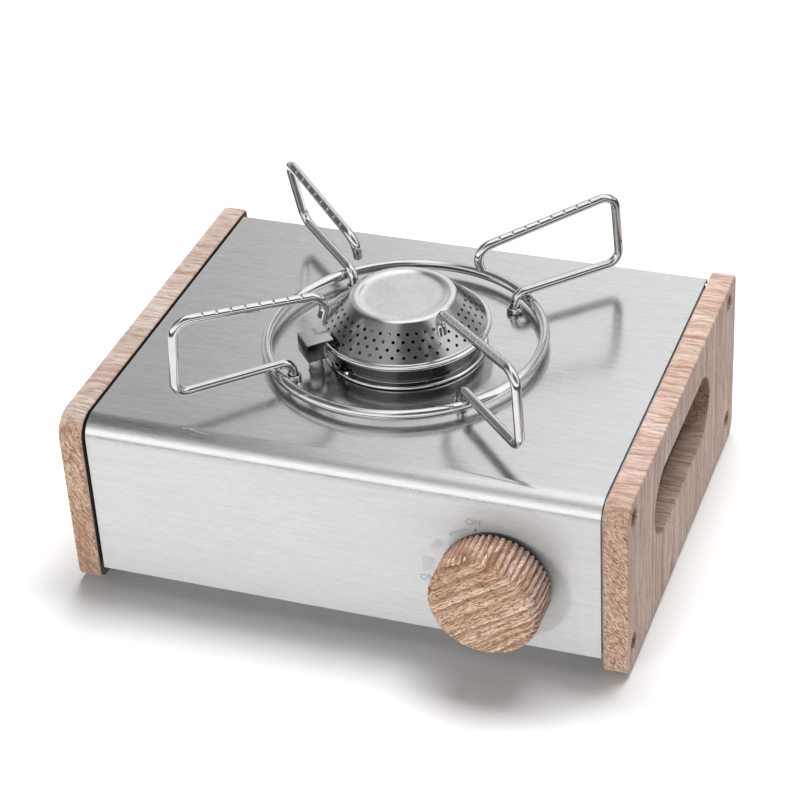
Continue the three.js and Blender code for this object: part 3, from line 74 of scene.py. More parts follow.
# ---- node helpers
class Nodes:
    """Short ways to add and link the nodes of one material or world."""

    def __init__(self, owner):
        self.owner = owner
        owner.use_nodes = True
        self.tree = owner.node_tree
        self.tree.nodes.clear()

    def add(self, kind, values=(), **settings):
        """A node with these settings. The values go to its inputs, in order or by their keys."""
        node = self.tree.nodes.new("ShaderNode" + kind)
        for name, value in settings.items():
            setattr(node, name, value)
        for key, value in values.items() if isinstance(values, dict) else enumerate(values):
            self.put(node.inputs[key], value)
        return node

    def put(self, socket, value):
        if isinstance(value, bpy.types.NodeSocket):
            self.tree.links.new(value, socket)
        elif socket.type == "RGBA":
            socket.default_value = (*value, 1)
        else:
            socket.default_value = value

    def object_mm(self, turn=(0, 0, 0), shift=(0, 0, 0)):
        """Object coordinates in millimetres, turned by degrees and shifted."""
        return self.add("Mapping", {
            "Vector": self.add("TexCoord").outputs["Object"], "Location": shift,
            "Rotation": [math.radians(a) for a in turn], "Scale": (1000, 1000, 1000),
        }).outputs[0]

    def noise(self, place, stretch, detail=2, roughness=0.6):
        """Noise at the place times stretch, which is a number or one for each axis."""
        if not isinstance(stretch, tuple):
            stretch = (stretch,) * 3
        vector = self.add("VectorMath", (place, stretch), operation="MULTIPLY").outputs[0]
        return self.add("TexNoise", {"Vector": vector, "Scale": 1, "Detail": detail,
                                     "Roughness": roughness}).outputs["Fac"]

    def ramp(self, value, *stops):
        """A ramp of greys; each stop is (position, grey)."""
        node = self.add("ValToRGB", (value,))
        elements = node.color_ramp.elements
        while len(elements) < len(stops):
            elements.new(0.5)
        for element, (position, grey) in zip(elements, stops):
            element.position = position
            element.color = (grey, grey, grey, 1)
        return node.outputs[0]

    def math(self, operation, *values):
        return self.add("Math", values, operation=operation).outputs[0]

    def plus(self, a, b):
        return self.math("ADD", a, b)

    def minus(self, a, b):
        return self.math("SUBTRACT", a, b)

    def times(self, a, b):
        return self.math("MULTIPLY", a, b)

    def size(self, value):
        return self.math("ABSOLUTE", value)

    def mix(self, factor, a, b, blend="MIX"):
        return self.add("Mix", {0: factor, 6: a, 7: b}, data_type="RGBA", blend_type=blend).outputs[2]

    def tint(self, colour, by):
        return self.mix(1, colour, by, "MULTIPLY")

    def span(self, value, low, high, to_low=0, to_high=1):
        """The value's place between low and high, clamped and carried over to another span."""
        return self.add("MapRange", (value, low, high, to_low, to_high)).outputs[0]

    def parts(self, vector):
        """The X, Y and Z of a vector."""
        return self.add("SeparateXYZ", (vector,)).outputs

    def normal(self):
        """The X, Y and Z of the surface's normal."""
        return self.parts(self.add("NewGeometry").outputs["Normal"])

    def bump(self, height, distance, strength):
        return self.add("Bump", {"Strength": strength, "Distance": distance, "Height": height}).outputs[0]

    def surface(self, **inputs):
        """A Principled BSDF with these inputs, to the output."""
        shader = self.add("BsdfPrincipled", {name.replace("_", " "): value for name, value in inputs.items()})
        self.add("OutputMaterial", {"Surface": shader.outputs[0]})
        return shader


def srgb(red, green, blue):
    """The linear colour of an 8-bit screen colour."""
    def one(value):
        value /= 255
        return value / 12.92 if value <= 0.04045 else ((value + 0.055) / 1.055) ** 2.4
    return (one(red), one(green), one(blue))


def scaled(colour, by):
    return tuple(by * part for part in colour)


# ---- materials
INNER_SHADE_WITHIN = 107.46  # mm from the middle plane to the panels' flat inner faces, which carry painted shade
FLUTE_DEPTH = 0.95 * MM
KNOB_RADIUS = 22.5 * MM
KNOB_ROUND = 3.4 * MM
GRIP_HALF_LENGTH = 45 * MM
GRIP_HALF_HEIGHT = 15.25 * MM
GRIP_MIDDLE = (-2.9 * MM, 48.2 * MM)  # from the panel's middle in Y, and from its foot
FACE_METALLIC = 0.3  # of the sheet's upright faces, which look flat and pale
FINE_BUMP = (0.00002, 0.12)  # distance and strength
FRONT_TINT = (1.2, 1.13, 0.98)  # of the panels' front edge
FLUTE_TINT = (0.97, 1.02, 1.16)  # of the knob's side
PANEL_SLANT = 38  # degrees from the fibre to the fine strands of the panels


def brushed_steel(name, grey=224, rough=0.18, face_rough=0.42, along="x", anisotropy=0.0):
    """Rolled stainless sheet brushed along one axis; its upright faces are duller and rougher. With
    anisotropy the sheet needs the UV map called across."""
    n = Nodes(bpy.data.materials.new(name))
    place = n.object_mm()
    stretch = tuple(0.24 if axis == along else 3.2 for axis in "xyz")
    fine = n.noise(place, stretch, 3, 0.7)
    wide = n.noise(place, scaled(stretch, 0.2), 3)
    cloud = n.noise(place, 0.03, 2, 0.5)
    streak = n.plus(n.times(fine, 0.7), n.times(wide, 0.3))
    light = srgb(grey, grey, grey)
    colour = n.mix(n.span(streak, 0.3, 0.7), scaled(light, 0.76), light)
    upright = n.span(n.size(n.normal()[2]), 0.4, 0.1)
    unevenness = n.plus(n.span(streak, 0.3, 0.7, -0.04, 0.04), n.span(cloud, 0.3, 0.7, -0.015, 0.015))
    shader = n.surface(Base_Color=colour, Metallic=n.span(upright, 0, 1, 1, FACE_METALLIC),
                       Roughness=n.plus(n.span(upright, 0, 1, rough, face_rough), unevenness),
                       Normal=n.bump(streak, *FINE_BUMP))
    if anisotropy:
        shader.inputs["Anisotropic"].default_value = anisotropy
        tangent = n.add("Tangent", direction_type="UV_MAP", uv_map="across")
        n.put(shader.inputs["Tangent"], tangent.outputs[0])
    return n.owner


def polished_steel(name, grey=224, rough=0.08, cloudy=0.02, speck=0.10, shade=None, tint=0.36):
    """Bright drawn or pressed stainless with faint draw marks, dark specks and handling haze. shade(n) may
    give a factor between 0 and 1 that darkens part of it to tint times its colour, as painted dark reflection."""
    n = Nodes(bpy.data.materials.new(name))
    place = n.object_mm()
    haze = n.noise(place, 0.12, 3)
    marks = n.noise(place, 2.2)
    light = srgb(grey, grey, grey)
    colour = n.mix(n.span(haze, 0.3, 0.7), scaled(light, 0.88), light)
    specks = n.span(n.noise(place, 3.1), 0.45, 0.65)
    colour = n.mix(n.times(specks, speck), colour, (0.05, 0.05, 0.05))
    if shade:
        # Painted dark reflection: the part that shade(n) picks goes towards tint times the colour.
        colour = n.mix(shade(n), colour, scaled(light, tint))
    roughness = n.plus(n.span(haze, 0.3, 0.7, rough - cloudy, rough + cloudy),
                       n.span(marks, 0.35, 0.65, -0.01, 0.015))
    n.surface(Base_Color=colour, Metallic=1, Roughness=roughness, Normal=n.bump(marks, *FINE_BUMP))
    return n.owner


def wood(name, layers, shift=(0, 0, 0), wander=3.0, warmth=0.0, ring=5.2, bold=0.75, panel=None, fluted=False):
    """Ash in growth rings. layers turns the object's axes so that X crosses the rings and Z runs along the
    fibre, and shift moves them. ring is the pitch of the rings in mm, wander their waviness and bold their
    strength, and warmth goes from pinkish to tan. panel = (streaks, top) adds a side panel's own tones and
    its painted shade, and fluted those of the knob with painted shade in its grooves."""
    n = Nodes(bpy.data.materials.new(name))
    base = n.object_mm(layers, shift)
    slow = n.noise(base, (0.03, 0.05, 0.014), 2, 0.5)
    wave = n.noise(base, (0.12, 0.11, 0.05), 2, 0.55)
    ripple = n.noise(base, (0.45, 0.30, 0.16))
    offset = n.plus(n.span(slow, 0, 1, -wander, wander), n.span(wave, 0, 1, -1.2, 1.2))
    offset = n.plus(offset, n.span(ripple, 0, 1, -0.4, 0.4))
    x, y, z = n.parts(base)
    across = n.plus(x, offset)
    warped = n.add("CombineXYZ", (across, y, z)).outputs[0]
    bands = n.noise(warped, (0.13, 0.012, 0.006))
    drift = n.noise(warped, (0.09, 0.02, 0.008), 1, 0.5)
    weight = n.noise(warped, (0.31, 0.02, 0.01), 1, 0.5)
    # Each ring starts with a sharp dark line that fades towards the next.
    turns = n.plus(n.math("DIVIDE", across, ring), n.span(drift, 0, 1, -1.6, 1.6))
    late = n.ramp(n.math("FRACT", turns), (0, 0), (0.05, 1), (0.16, 0.8), (0.42, 0.22), (0.8, 0), (1, 0))
    late = n.times(late, n.span(weight, 0.35, 0.65, 0.25, 1))
    sheets = n.noise(warped, (1.8, 0.11, 0.07), 2, 0.65)
    slant = math.radians(PANEL_SLANT if panel else 0)
    slanted = n.add("Mapping", {"Vector": warped, "Rotation": (slant, 0, 0)}).outputs[0]
    strands = n.noise(slanted, (2.4, 2.0, 0.42))
    pores = n.noise(slanted, (3.2, 2.6, 0.5), 1, 0.5)
    normal = n.normal()
    front_grain = n.span(n.size(normal[1]), 0.45, 0.9)
    end_grain = n.span(n.size(normal[2]), 0.5, 0.9)
    pale = n.mix(warmth, srgb(212, 194, 184), srgb(250, 224, 198))
    tan = n.mix(warmth, srgb(192, 169, 156), srgb(222, 186, 152))
    brown = n.mix(warmth, srgb(146, 108, 88), srgb(144, 96, 64))
    dark = n.mix(warmth, srgb(108, 76, 58), srgb(86, 52, 32))
    strand_weight, sheet_weight = 0.65, 0.75
    if panel:
        # A panel's narrow front shows speckled flat-sawn grain, its top end grain in thin lines.
        strand_weight = n.plus(0.40, n.minus(n.times(front_grain, 0.45), n.times(end_grain, 0.22)))
        sheet_weight = n.minus(0.72, n.times(front_grain, 0.45))
    ground = n.mix(n.span(bands, 0.36, 0.64), pale, tan)
    ground = n.mix(n.times(late, bold), ground, brown)
    ground = n.mix(n.times(n.span(sheets, 0.49, 0.60), sheet_weight), ground, brown)
    ground = n.mix(n.times(n.span(strands, 0.49, 0.60), strand_weight), ground, brown)
    colour = n.mix(n.times(n.span(pores, 0.56, 0.64), n.times(strand_weight, 1.2)), ground, dark)
    if panel:
        colour = panel_tones(n, colour, normal, front_grain, end_grain, brown, *panel)
    if fluted:
        colour = n.mix(n.minus(1, front_grain), colour, n.tint(colour, FLUTE_TINT))
        # Painted shade darkens the grooves between the ridges.
        colour = n.mix(n.times(grooves(n), 0.42), colour, srgb(74, 50, 38))
    relief = n.minus(n.minus(n.times(strands, 0.6), n.times(pores, 0.6)), n.times(sheets, 0.5))
    n.surface(Base_Color=colour, Roughness=n.span(strands, 0.3, 0.7, 0.55, 0.7), Specular_IOR_Level=0.3,
              Normal=n.bump(relief, 0.00015, 0.6))
    return n.owner


def panel_tones(n, colour, normal, front_grain, end_grain, brown, streaks, top):
    """A side panel's warmer front edge, with dark streaks at an angle in degrees, its top tinted by top, which
    is painted shade on the left panel, painted shade in its grip slot and painted shade on its inner face."""
    colour = n.mix(front_grain, colour, n.tint(colour, FRONT_TINT))
    # The top's tint paints shade on the left panel's top.
    colour = n.mix(end_grain, colour, n.tint(colour, top))
    if streaks:
        diagonal = n.noise(n.object_mm((0, streaks, 0)), (0.85, 0.3, 0.13), 3, 0.65)
        colour = n.mix(n.times(n.span(diagonal, 0.49, 0.62), n.times(front_grain, 0.75)), colour, brown)
    x, y, z = n.parts(n.object_mm())
    low, high = (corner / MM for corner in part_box("side_panel_left"))
    # Painted shade in the grip slot, deeper on its upper walls than on its floor.
    aside = n.minus(y, (low.y + high.y) / 2 + GRIP_MIDDLE[0] / MM)
    above = n.minus(z, low.z + GRIP_MIDDLE[1] / MM)
    painted_slot_shade = n.times(n.math("LESS_THAN", n.size(aside), GRIP_HALF_LENGTH / MM + 0.4),
                     n.math("LESS_THAN", n.size(above), GRIP_HALF_HEIGHT / MM + 0.4))
    painted_slot_shade = n.times(painted_slot_shade, n.span(n.size(normal[0]), 0.9, 0.5))
    slot_shade_by_facing = n.span(normal[2], -0.2, 0.8, 0.62, 0.2)
    colour = n.mix(n.times(painted_slot_shade, slot_shade_by_facing), colour, srgb(88, 60, 42))
    # Painted shade on the inner face, where it stands in the gap beside the steel.
    return n.mix(n.math("LESS_THAN", n.size(x), INNER_SHADE_WITHIN), colour, srgb(46, 36, 30))


def grooves(n):
    """How deep in a groove between the knob's ridges a point lies, from 0 to 1, which sets the painted shade
    there.
    """
    x, y, z = n.parts(n.object_mm())
    low, high = (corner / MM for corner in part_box("knob"))
    axis, front = (low + high) / 2, low.y
    side = n.span(y, front + 0.4, front + 1.2)
    inward = n.math("MAXIMUM", n.span(y, front, front + KNOB_ROUND / MM, 1, 0), 0)
    rounding = n.minus(1, n.math("SQRT", n.minus(1, n.math("POWER", inward, 2))))
    ridge = n.minus(KNOB_RADIUS / MM, n.times(rounding, KNOB_ROUND / MM))
    aside, above = (n.math("POWER", n.minus(part, middle), 2) for part, middle in ((x, axis.x), (z, axis.z)))
    depth = n.minus(ridge, n.math("SQRT", n.plus(aside, above)))
    within = n.math("LESS_THAN", depth, 1.2 * FLUTE_DEPTH / MM)
    return n.times(n.times(n.span(depth, 0.15, 0.7), within), side)


def plain(name, colour, rough, metallic=0.0, depth=0.00003, mottle=0.12):
    """Any cast, moulded, plated or fired surface: mottled colour and a fine grain."""
    n = Nodes(bpy.data.materials.new(name))
    place = n.object_mm()
    blotch = n.noise(place, 0.35, 3)
    grain = n.noise(place, 3.0)
    base = srgb(*colour)
    n.surface(Base_Color=n.mix(n.span(blotch, 0.3, 0.7), scaled(base, 1 - mottle), base), Metallic=metallic,
              Roughness=n.span(grain, 0.3, 0.7, max(rough - 0.06, 0.03), rough + 0.06),
              Normal=n.bump(grain, depth, 0.4))
    return n.owner


def painted_dark_cone(n):
    """Painted dark reflection on the cone of the burner's cap, which makes it darker than its dished top."""
    return n.span(n.normal()[2], 0.93, 0.78, 0, 0.75)


# Painted dark reflection on upright walls, where they mirror the dark room.
def painted_dark_walls(n):
    return n.span(n.size(n.normal()[2]), 0.12, 0.04)


SHEET = brushed_steel("sheet_steel", anisotropy=0.35)
DOOR_STEEL = brushed_steel("door_steel", grey=196, rough=0.28)
END_STEEL = brushed_steel("end_steel", rough=0.3, face_rough=0.3, along="y")
BRIGHT = polished_steel("bright_wire", grey=218, rough=0.055, cloudy=0.015, speck=0.2)
# The cap's cone carries painted dark reflection, darker than its dished top.
SPUN = polished_steel("spun_steel", grey=230, rough=0.18, cloudy=0.03, speck=0.16, shade=painted_dark_cone)
# The bowl's wall and the hood's upright faces carry painted dark reflection.
BOWL = polished_steel("bowl_steel", rough=0.09, shade=painted_dark_walls, tint=0.12)
HOOD = polished_steel("hood_steel", grey=186, rough=0.12, speck=0.3, shade=painted_dark_walls, tint=0.08)
PANEL_WOODS = {
    # The left panel's top tint is painted shade; the right one's leaves its top as it is.
    "left": wood("panel_ash_left", (0, -5, -90), shift=(17, 5, 30), ring=7.4, bold=0.8,
                 panel=(32, (0.86, 0.92, 0.97))),
    "right": wood("panel_ash_right", (0, 7, -90), bold=0.85, panel=(0, (1, 1, 1))),
}
KNOB_WOOD = wood("knob_ash", (0, -55, 0), shift=(31, 12, 8), wander=4.0, warmth=0.85, bold=0.95, fluted=True)
SCREW = plain("bronzed_screw", (74, 62, 52), 0.42, 0.8)
RUBBER = plain("pad_rubber", (34, 34, 35), 0.8)
PLASTIC = plain("black_plastic", (28, 27, 27), 0.5)
CERAMIC = plain("fired_ceramic", (238, 236, 230), 0.28, mottle=0.04)
BRASS = plain("turned_brass", (190, 150, 80), 0.28, 1.0)
COPPER = plain("drawn_copper", (196, 118, 80), 0.26, 1.0)
CASTING = plain("zinc_casting", (150, 152, 154), 0.45, 0.85, depth=0.00008)
FERRITE = plain("magnet_ferrite", (52, 52, 55), 0.55, 0.2)
PRESSED = plain("pressed_steel", (176, 178, 180), 0.34, 1.0)
ZINC = plain("zinc_plate", (168, 170, 172), 0.38, 0.95)
PRINT = plain("screen_print", (213, 210, 213), 0.55, mottle=0.05)
THIN_PRINT = plain("thin_print", (194, 190, 193), 0.55, mottle=0.05)
LETTERS = plain("letter_print", (168, 167, 170), 0.55, mottle=0.05)
DOT = plain("dot_print", (148, 112, 116), 0.55, mottle=0.05)

# ---- mesh helpers
collection = bpy.context.scene.collection


def mesh_object(name, corners, faces, material, sharp=40, sheet=False):
    """A piece from corners in metres, faces outwards, smooth apart from edges over so many degrees."""
    mesh = bpy.data.meshes.new(name)
    mesh.from_pydata([tuple(c) for c in corners], [], [tuple(f) for f in faces])
    mesh.validate()
    mesh.update()
    piece = bpy.data.objects.new(name, mesh)
    collection.objects.link(piece)
    mesh.materials.append(material)
    outward(piece, sheet)
    shade(piece, sharp)
    return piece


def outward(piece, sheet):
    """Turns the faces of a closed mesh outwards, or those of an open sheet so that the highest looks up."""
    bm = bmesh.new()
    bm.from_mesh(piece.data)
    bmesh.ops.recalc_face_normals(bm, faces=bm.faces)
    if sheet and max(bm.faces, key=lambda f: f.calc_center_median().z).normal.z < 0:
        bmesh.ops.reverse_faces(bm, faces=bm.faces)
    bm.to_mesh(piece.data)
    bm.free()


def shade(piece, sharp):
    mesh = piece.data
    mesh.polygons.foreach_set("use_smooth", [True] * len(mesh.polygons))
    mesh.set_sharp_from_angle(angle=math.radians(sharp))


def bands(loops):
    """Faces between the closed loops of corners in a row; a loop of one corner is a tip."""
    faces = []
    for low, high in zip(loops, loops[1:]):
        count = max(len(low), len(high))
        for i in range(count):
            j = (i + 1) % count
            if len(low) == 1:
                faces.append((low[0], high[j], high[i]))
            elif len(high) == 1:
                faces.append((low[i], low[j], high[0]))
            else:
                faces.append((low[i], low[j], high[j], high[i]))
    return faces


class Turned:
    """Rings of corners round an axis, where place(radius, station, angle) gives a corner."""

    def __init__(self, segments, place):
        self.segments, self.place = segments, place
        self.corners, self.faces = [], []

    def corner(self, radius, station, angle=0.0):
        self.corners.append(self.place(radius, station, angle))
        return len(self.corners) - 1

    def ring(self, radius, station):
        """A ring whose radius is a number or a function of the segment's number; 0 gives a tip."""
        if radius == 0:
            return [self.corner(0, station)]
        size = radius if callable(radius) else lambda segment: radius
        return [self.corner(size(i), station, FULL_TURN * i / self.segments) for i in range(self.segments)]

    def join(self, rings):
        self.faces += bands(rings)


AXIS_ORDER = {"x": (2, 0, 1), "y": (1, 2, 0), "z": (0, 1, 2)}


def revolved(name, profile, centre, material, axis, segments, sharp=35, closed=False):
    """A profile of (radius, station) turned about an axis through centre; a zero radius closes the end."""
    def place(radius, station, angle):
        local = (radius * math.cos(angle), radius * math.sin(angle), station)
        return Vector([local[i] for i in AXIS_ORDER[axis]]) + Vector(centre)

    turned = Turned(segments, place)
    rings = [turned.ring(radius, station) for radius, station in profile]
    turned.join(rings + rings[:1] if closed else rings)
    return mesh_object(name, turned.corners, turned.faces, material, sharp)


def over_plate(name, profile, middle, material, segments, sharp, closed=False):
    """A piece turned about the upright axis through middle, from (radius, height over the plate) in mm."""
    profile = [(radius * MM, PLATE_TOP + height * MM) for radius, height in profile]
    return revolved(name, profile, (middle.x, middle.y, 0), material, "z", segments, sharp, closed)


def filleted(corners, step_degrees):
    """Points along straight runs and round bends; each corner is (point, bend radius)."""
    points = []
    for i, (here, radius) in enumerate(corners):
        here = Vector(here)
        if not radius:
            points.append(here)
            continue
        before = (Vector(corners[i - 1][0]) - here).normalized()
        after = (Vector(corners[i + 1][0]) - here).normalized()
        half = before.angle(after) / 2
        middle = here + (before + after).normalized() * (radius / math.sin(half))
        start = here + before * (radius / math.tan(half)) - middle
        end = here + after * (radius / math.tan(half)) - middle
        axis = start.cross(end).normalized()
        sweep = start.angle(end)
        count = max(3, math.ceil(math.degrees(sweep) / step_degrees))
        for k in range(count + 1):
            points.append(middle + Matrix.Rotation(sweep * k / count, 3, axis) @ start)
    return points


def frames_along(points):
    """A tangent and two crosswise axes at each point, carried without twist."""
    steps = [(b - a).normalized() for a, b in zip(points, points[1:])]
    tangents = [(a + b).normalized() for a, b in zip(steps[:1] + steps, steps + steps[-1:])]
    first = tangents[0].orthogonal().normalized()
    rows = []
    for tangent in tangents:
        first = (first - tangent * first.dot(tangent)).normalized()
        rows.append((tangent, first, tangent.cross(first)))
    return rows


def tube(name, points, radius, material, sides, press, sharp):
    """A closed round wire along points. press(centre, corner) may move a corner, as a notch does."""
    corners, rings = [], []
    for centre, (_, first, second) in zip(points, frames_along(points)):
        rings.append(list(range(len(corners), len(corners) + sides)))
        for k in range(sides):
            angle = FULL_TURN * k / sides
            offset = first * (radius * math.cos(angle)) + second * (radius * math.sin(angle))
            corners.append(press(centre, centre + offset))
    return mesh_object(name, corners, [*bands(rings), rings[0][::-1], rings[-1]], material, sharp)


def rounded_rectangle(u0, u1, v0, v1, low, high, steps, far_high=None):
    """Anticlockwise points; low and high are the corner radii at the foot and the top, and far_high is the
    radius at the top's far end if it differs."""
    points = []
    far = high if far_high is None else far_high
    for cu, cv, radius, start in (
        (u1 - low, v0 + low, low, -90), (u1 - far, v1 - far, far, 0),
        (u0 + high, v1 - high, high, 90), (u0 + low, v0 + low, low, 180),
    ):
        for k in range(steps + 1):
            angle = math.radians(start + 90 * k / steps)
            points.append((cu + radius * math.cos(angle), cv + radius * math.sin(angle)))
    return points


def solid_plate(name, loops, levels, material, place):
    """A plate between its first and last level. Each level is (inset, depth). Each of loops gives a loop at
    an inset, the outline first and then the holes, and place(u, v, depth) gives a corner."""
    corners, faces, stacks = [], [], []
    for loop_of in loops:
        stack = []
        for inset, depth in levels:
            loop = loop_of(inset)
            stack.append(list(range(len(corners), len(corners) + len(loop))))
            corners += [place(u, v, depth) for u, v in loop]
        stacks.append(stack)
        faces += bands(stack)
    for end in (0, -1):
        index = [k for stack in stacks for k in stack[end]]
        flat = [[Vector((u, v, 0)) for u, v in loop_of(levels[end][0])] for loop_of in loops]
        faces += [tuple(index[k] for k in triangle) for triangle in tessellate_polygon(flat)]
    return mesh_object(name, corners, faces, material, 30)


def settle(piece, sharp):
    """Applies the piece's modifiers to its mesh and shades it."""
    graph = bpy.context.evaluated_depsgraph_get()
    graph.update()
    mesh = bpy.data.meshes.new_from_object(piece.evaluated_get(graph))
    old = piece.data
    piece.modifiers.clear()
    piece.data = mesh
    bpy.data.meshes.remove(old)
    shade(piece, sharp)


def carve(piece, cutters, sharp):
    """Takes the cutters out of the piece, for good, and shades it."""
    for cutter in cutters:
        modifier = piece.modifiers.new("cut", "BOOLEAN")
        modifier.operation = "DIFFERENCE"
        modifier.solver = "EXACT"
        modifier.object = cutter
    settle(piece, sharp)
    for cutter in cutters:
        bpy.data.objects.remove(cutter)


def soften(piece, width, segments, angle):
    """A small round on the edges sharper than an angle in degrees."""
    bevel = piece.modifiers.new("edge", "BEVEL")
    bevel.width = width
    bevel.segments = segments
    bevel.limit_method = "ANGLE"
    bevel.angle_limit = math.radians(angle)


def flatten(piece):
    """Keeps the flat faces flat in the shading."""
    weight = piece.modifiers.new("weight", "WEIGHTED_NORMAL")
    weight.keep_sharp = True
    weight.weight = 100


def adopt(piece, body, slot, *nodes):
    """The piece stands for the CAD nodes, which it hides, and rides on their body."""
    if nodes:
        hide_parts(*nodes)
    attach(piece, body)


def middle_of(node):
    low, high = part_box(node)
    return (low + high) / 2


# ---- wooden panels
ARRIS = 0.9 * MM
PANEL_TOP_RADIUS = 10 * MM
PANEL_FOOT_RADIUS = 5 * MM
PANEL_REAR_RADIUS = 3 * MM  # at the rear end of the top
SCREW_SINK = 5.4 * MM
SCREW_SINK_RADIUS = 4 * MM
SCREW_BORE = 1.8 * MM
SINK_CHAMFER = 0.35 * MM
CUT_PAST = 2 * MM  # of a cutter in front of the wood's face
CUT_DEEP = 14 * MM  # right through the wood


def screw_hole(side, node, outer, material):
    """A cutter for one counterbored screw hole, with a small flare at the wood's face."""
    middle = middle_of(node)
    flare = SCREW_SINK_RADIUS + SINK_CHAMFER
    profile = [
        (0, outer + CUT_PAST), (flare + CUT_PAST, outer + CUT_PAST), (flare, outer),
        (SCREW_SINK_RADIUS, outer - SINK_CHAMFER), (SCREW_SINK_RADIUS, outer - SCREW_SINK),
        (SCREW_BORE, outer - SCREW_SINK), (SCREW_BORE, outer - CUT_DEEP), (0, outer - CUT_DEEP),
    ]
    profile = [(radius, side * station) for radius, station in profile]
    return revolved("hole", profile, (0, middle.y, middle.z), material, "x", 40)


def wooden_panel(name, side):
    low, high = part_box(f"side_panel_{name}")
    inner, outer = sorted((abs(low.x), abs(high.x)))
    grip_y = (low.y + high.y) / 2 + GRIP_MIDDLE[0]
    grip_z = low.z + GRIP_MIDDLE[1]
    material = PANEL_WOODS[name]

    def outline(inset):
        return rounded_rectangle(low.y + inset, high.y - inset, low.z + inset, high.z - inset,
                                 PANEL_FOOT_RADIUS - inset, PANEL_TOP_RADIUS - inset, 12,
                                 PANEL_REAR_RADIUS - inset)

    def grip(inset):
        length, height = GRIP_HALF_LENGTH + inset, GRIP_HALF_HEIGHT + inset
        radius = height - 1e-6  # so that the round ends' corners stay apart
        return rounded_rectangle(grip_y - length, grip_y + length, grip_z - height, grip_z + height,
                                 radius, radius, 16)

    rounds = [(ARRIS * (1 - math.sin(a)), ARRIS * (1 - math.cos(a)))
              for a in np.linspace(0, math.pi / 2, 7)]
    levels = [(inset, inner + depth) for inset, depth in rounds]
    levels += [(inset, outer - depth) for inset, depth in reversed(rounds)]
    panel = solid_plate(f"wood_panel_{name}", [outline, grip], levels, material,
                        lambda u, v, depth: (side * depth, u, v))
    carve(panel, [screw_hole(side, f"panel_screw_{name}_{i}", outer, material) for i in (1, 2, 3, 4)], 35)
    flatten(panel)
    adopt(panel, "case", "wood", f"side_panel_{name}")


for panel_name, panel_side in (("left", -1), ("right", 1)):
    wooden_panel(panel_name, panel_side)

# ---- steel case
SHEET_GAUGE = 1 * MM
FRONT_BEND = 9 * MM
REAR_BEND = 1.6 * MM
REAR_LIP = 2.6 * MM
SHEET_COLUMNS = 9
UV_PER_METRE = 4
HOLES = {"burner_body": 10.3, "igniter_ceramic": 3.25, **{f"leg_socket_{i}": 3.2 for i in (1, 2, 3, 4)}}  # mm
SPINDLE_HOLE = 3.9 * MM


def bore(radius, start, end, centre, axis="z", segments=64):
    """A cutter for a round hole from start to end along an axis through centre."""
    profile = [(0, start), (radius, start), (radius, end), (0, end)]
    return revolved("hole", profile, centre, SHEET, axis, segments)


def sheet_case():
    """The bent sheet: front, bend, top and rear lip, with its holes."""
    low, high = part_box("case_shell")
    top, foot = high.z, low.z
    line = filleted([
        ((0, low.y, foot), 0), ((0, low.y, top), FRONT_BEND),
        ((0, high.y, top), REAR_BEND), ((0, high.y, top - REAR_LIP), 0),
    ], 3.0)
    section, lengths, run = [], [], 0.0
    for i, (point, (tangent, _, _)) in enumerate(zip(line, frames_along(line))):
        run += (point - line[i - 1]).length if i else 0
        inward = Vector((0, tangent.z, -tangent.y))
        section.append((point, point + inward * SHEET_GAUGE))
        lengths.append(run)
    corners, spots = [], []
    for x in np.linspace(low.x, high.x, SHEET_COLUMNS):
        for pair, length in zip(section, lengths):
            corners += [(x, point.y, point.z) for point in pair]
            spots += [(length, x)] * 2
    # Each column's corners lie in pairs, outside and inside; a loop goes up one side and back down the other.
    starts = [column * 2 * len(section) for column in range(SHEET_COLUMNS)]
    pairs = [list(range(start, start + 2 * len(section), 2)) for start in starts]
    faces = bands([outside + [k + 1 for k in reversed(outside)] for outside in pairs])
    for outside in (pairs[0], pairs[-1]):
        faces += [(a, a + 1, b + 1, b) for a, b in zip(outside, outside[1:])]
    case = mesh_object("sheet_case", corners, faces, SHEET, 30)
    across = case.data.uv_layers.new(name="across")
    for loop in case.data.loops:
        across.data[loop.index].uv = [UV_PER_METRE * length for length in spots[loop.vertex_index]]
    cutters = [bore(radius * MM, top - 5 * MM, top + 5 * MM, (*middle_of(node).xy, 0))
               for node, radius in HOLES.items()]
    knob = middle_of("knob")
    cutters.append(bore(SPINDLE_HOLE, low.y - 5 * MM, low.y + 4 * MM, (knob.x, 0, knob.z), "y", 48))
    carve(case, cutters, 30)
    soften(case, 0.12 * MM, 2, 50)
    flatten(case)
    adopt(case, "case", "brushed_steel", "case_shell")


sheet_case()

# ---- burner
PLATE_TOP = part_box("case_shell")[1].z
BURNER = middle_of("burner_body")
PORTS = 43  # in each row
PORT_SIDES = 16
PORT_RADIUS = 0.70 * MM
PORT_ROWS = 4
PORT_FIRST = 0.26  # share of the cone's slope, from its top
PORT_STEP = 0.197
# The run of a port's corners that meets each side of its cell.
PORT_SPANS = [(0, 2), (2, 6), (6, 8), (8, 10), (10, 14), (14, 16)]
CAP_WALL = 0.8 * MM
CONE_TOP = (22.2 * MM, 24.0 * MM)  # radius and height above the plate
CONE_FOOT = (33.5 * MM, 12.4 * MM)
DISH = [
    (3, 24.0), (6, 24.0), (9, 24.0), (12, 24.0), (14.8, 24.0), (16.3, 24.02), (17.1, 24.12), (17.7, 24.32),
    (18.2, 24.54), (18.7, 24.7), (19.3, 24.8), (20.0, 24.8), (20.8, 24.72), (21.4, 24.56), (21.85, 24.32),
    (22.2, 24.0),
]  # radius and height in mm of the dished top and its rolled edge


def on_cone(share):
    return tuple(a + (b - a) * share for a, b in zip(CONE_TOP, CONE_FOOT))


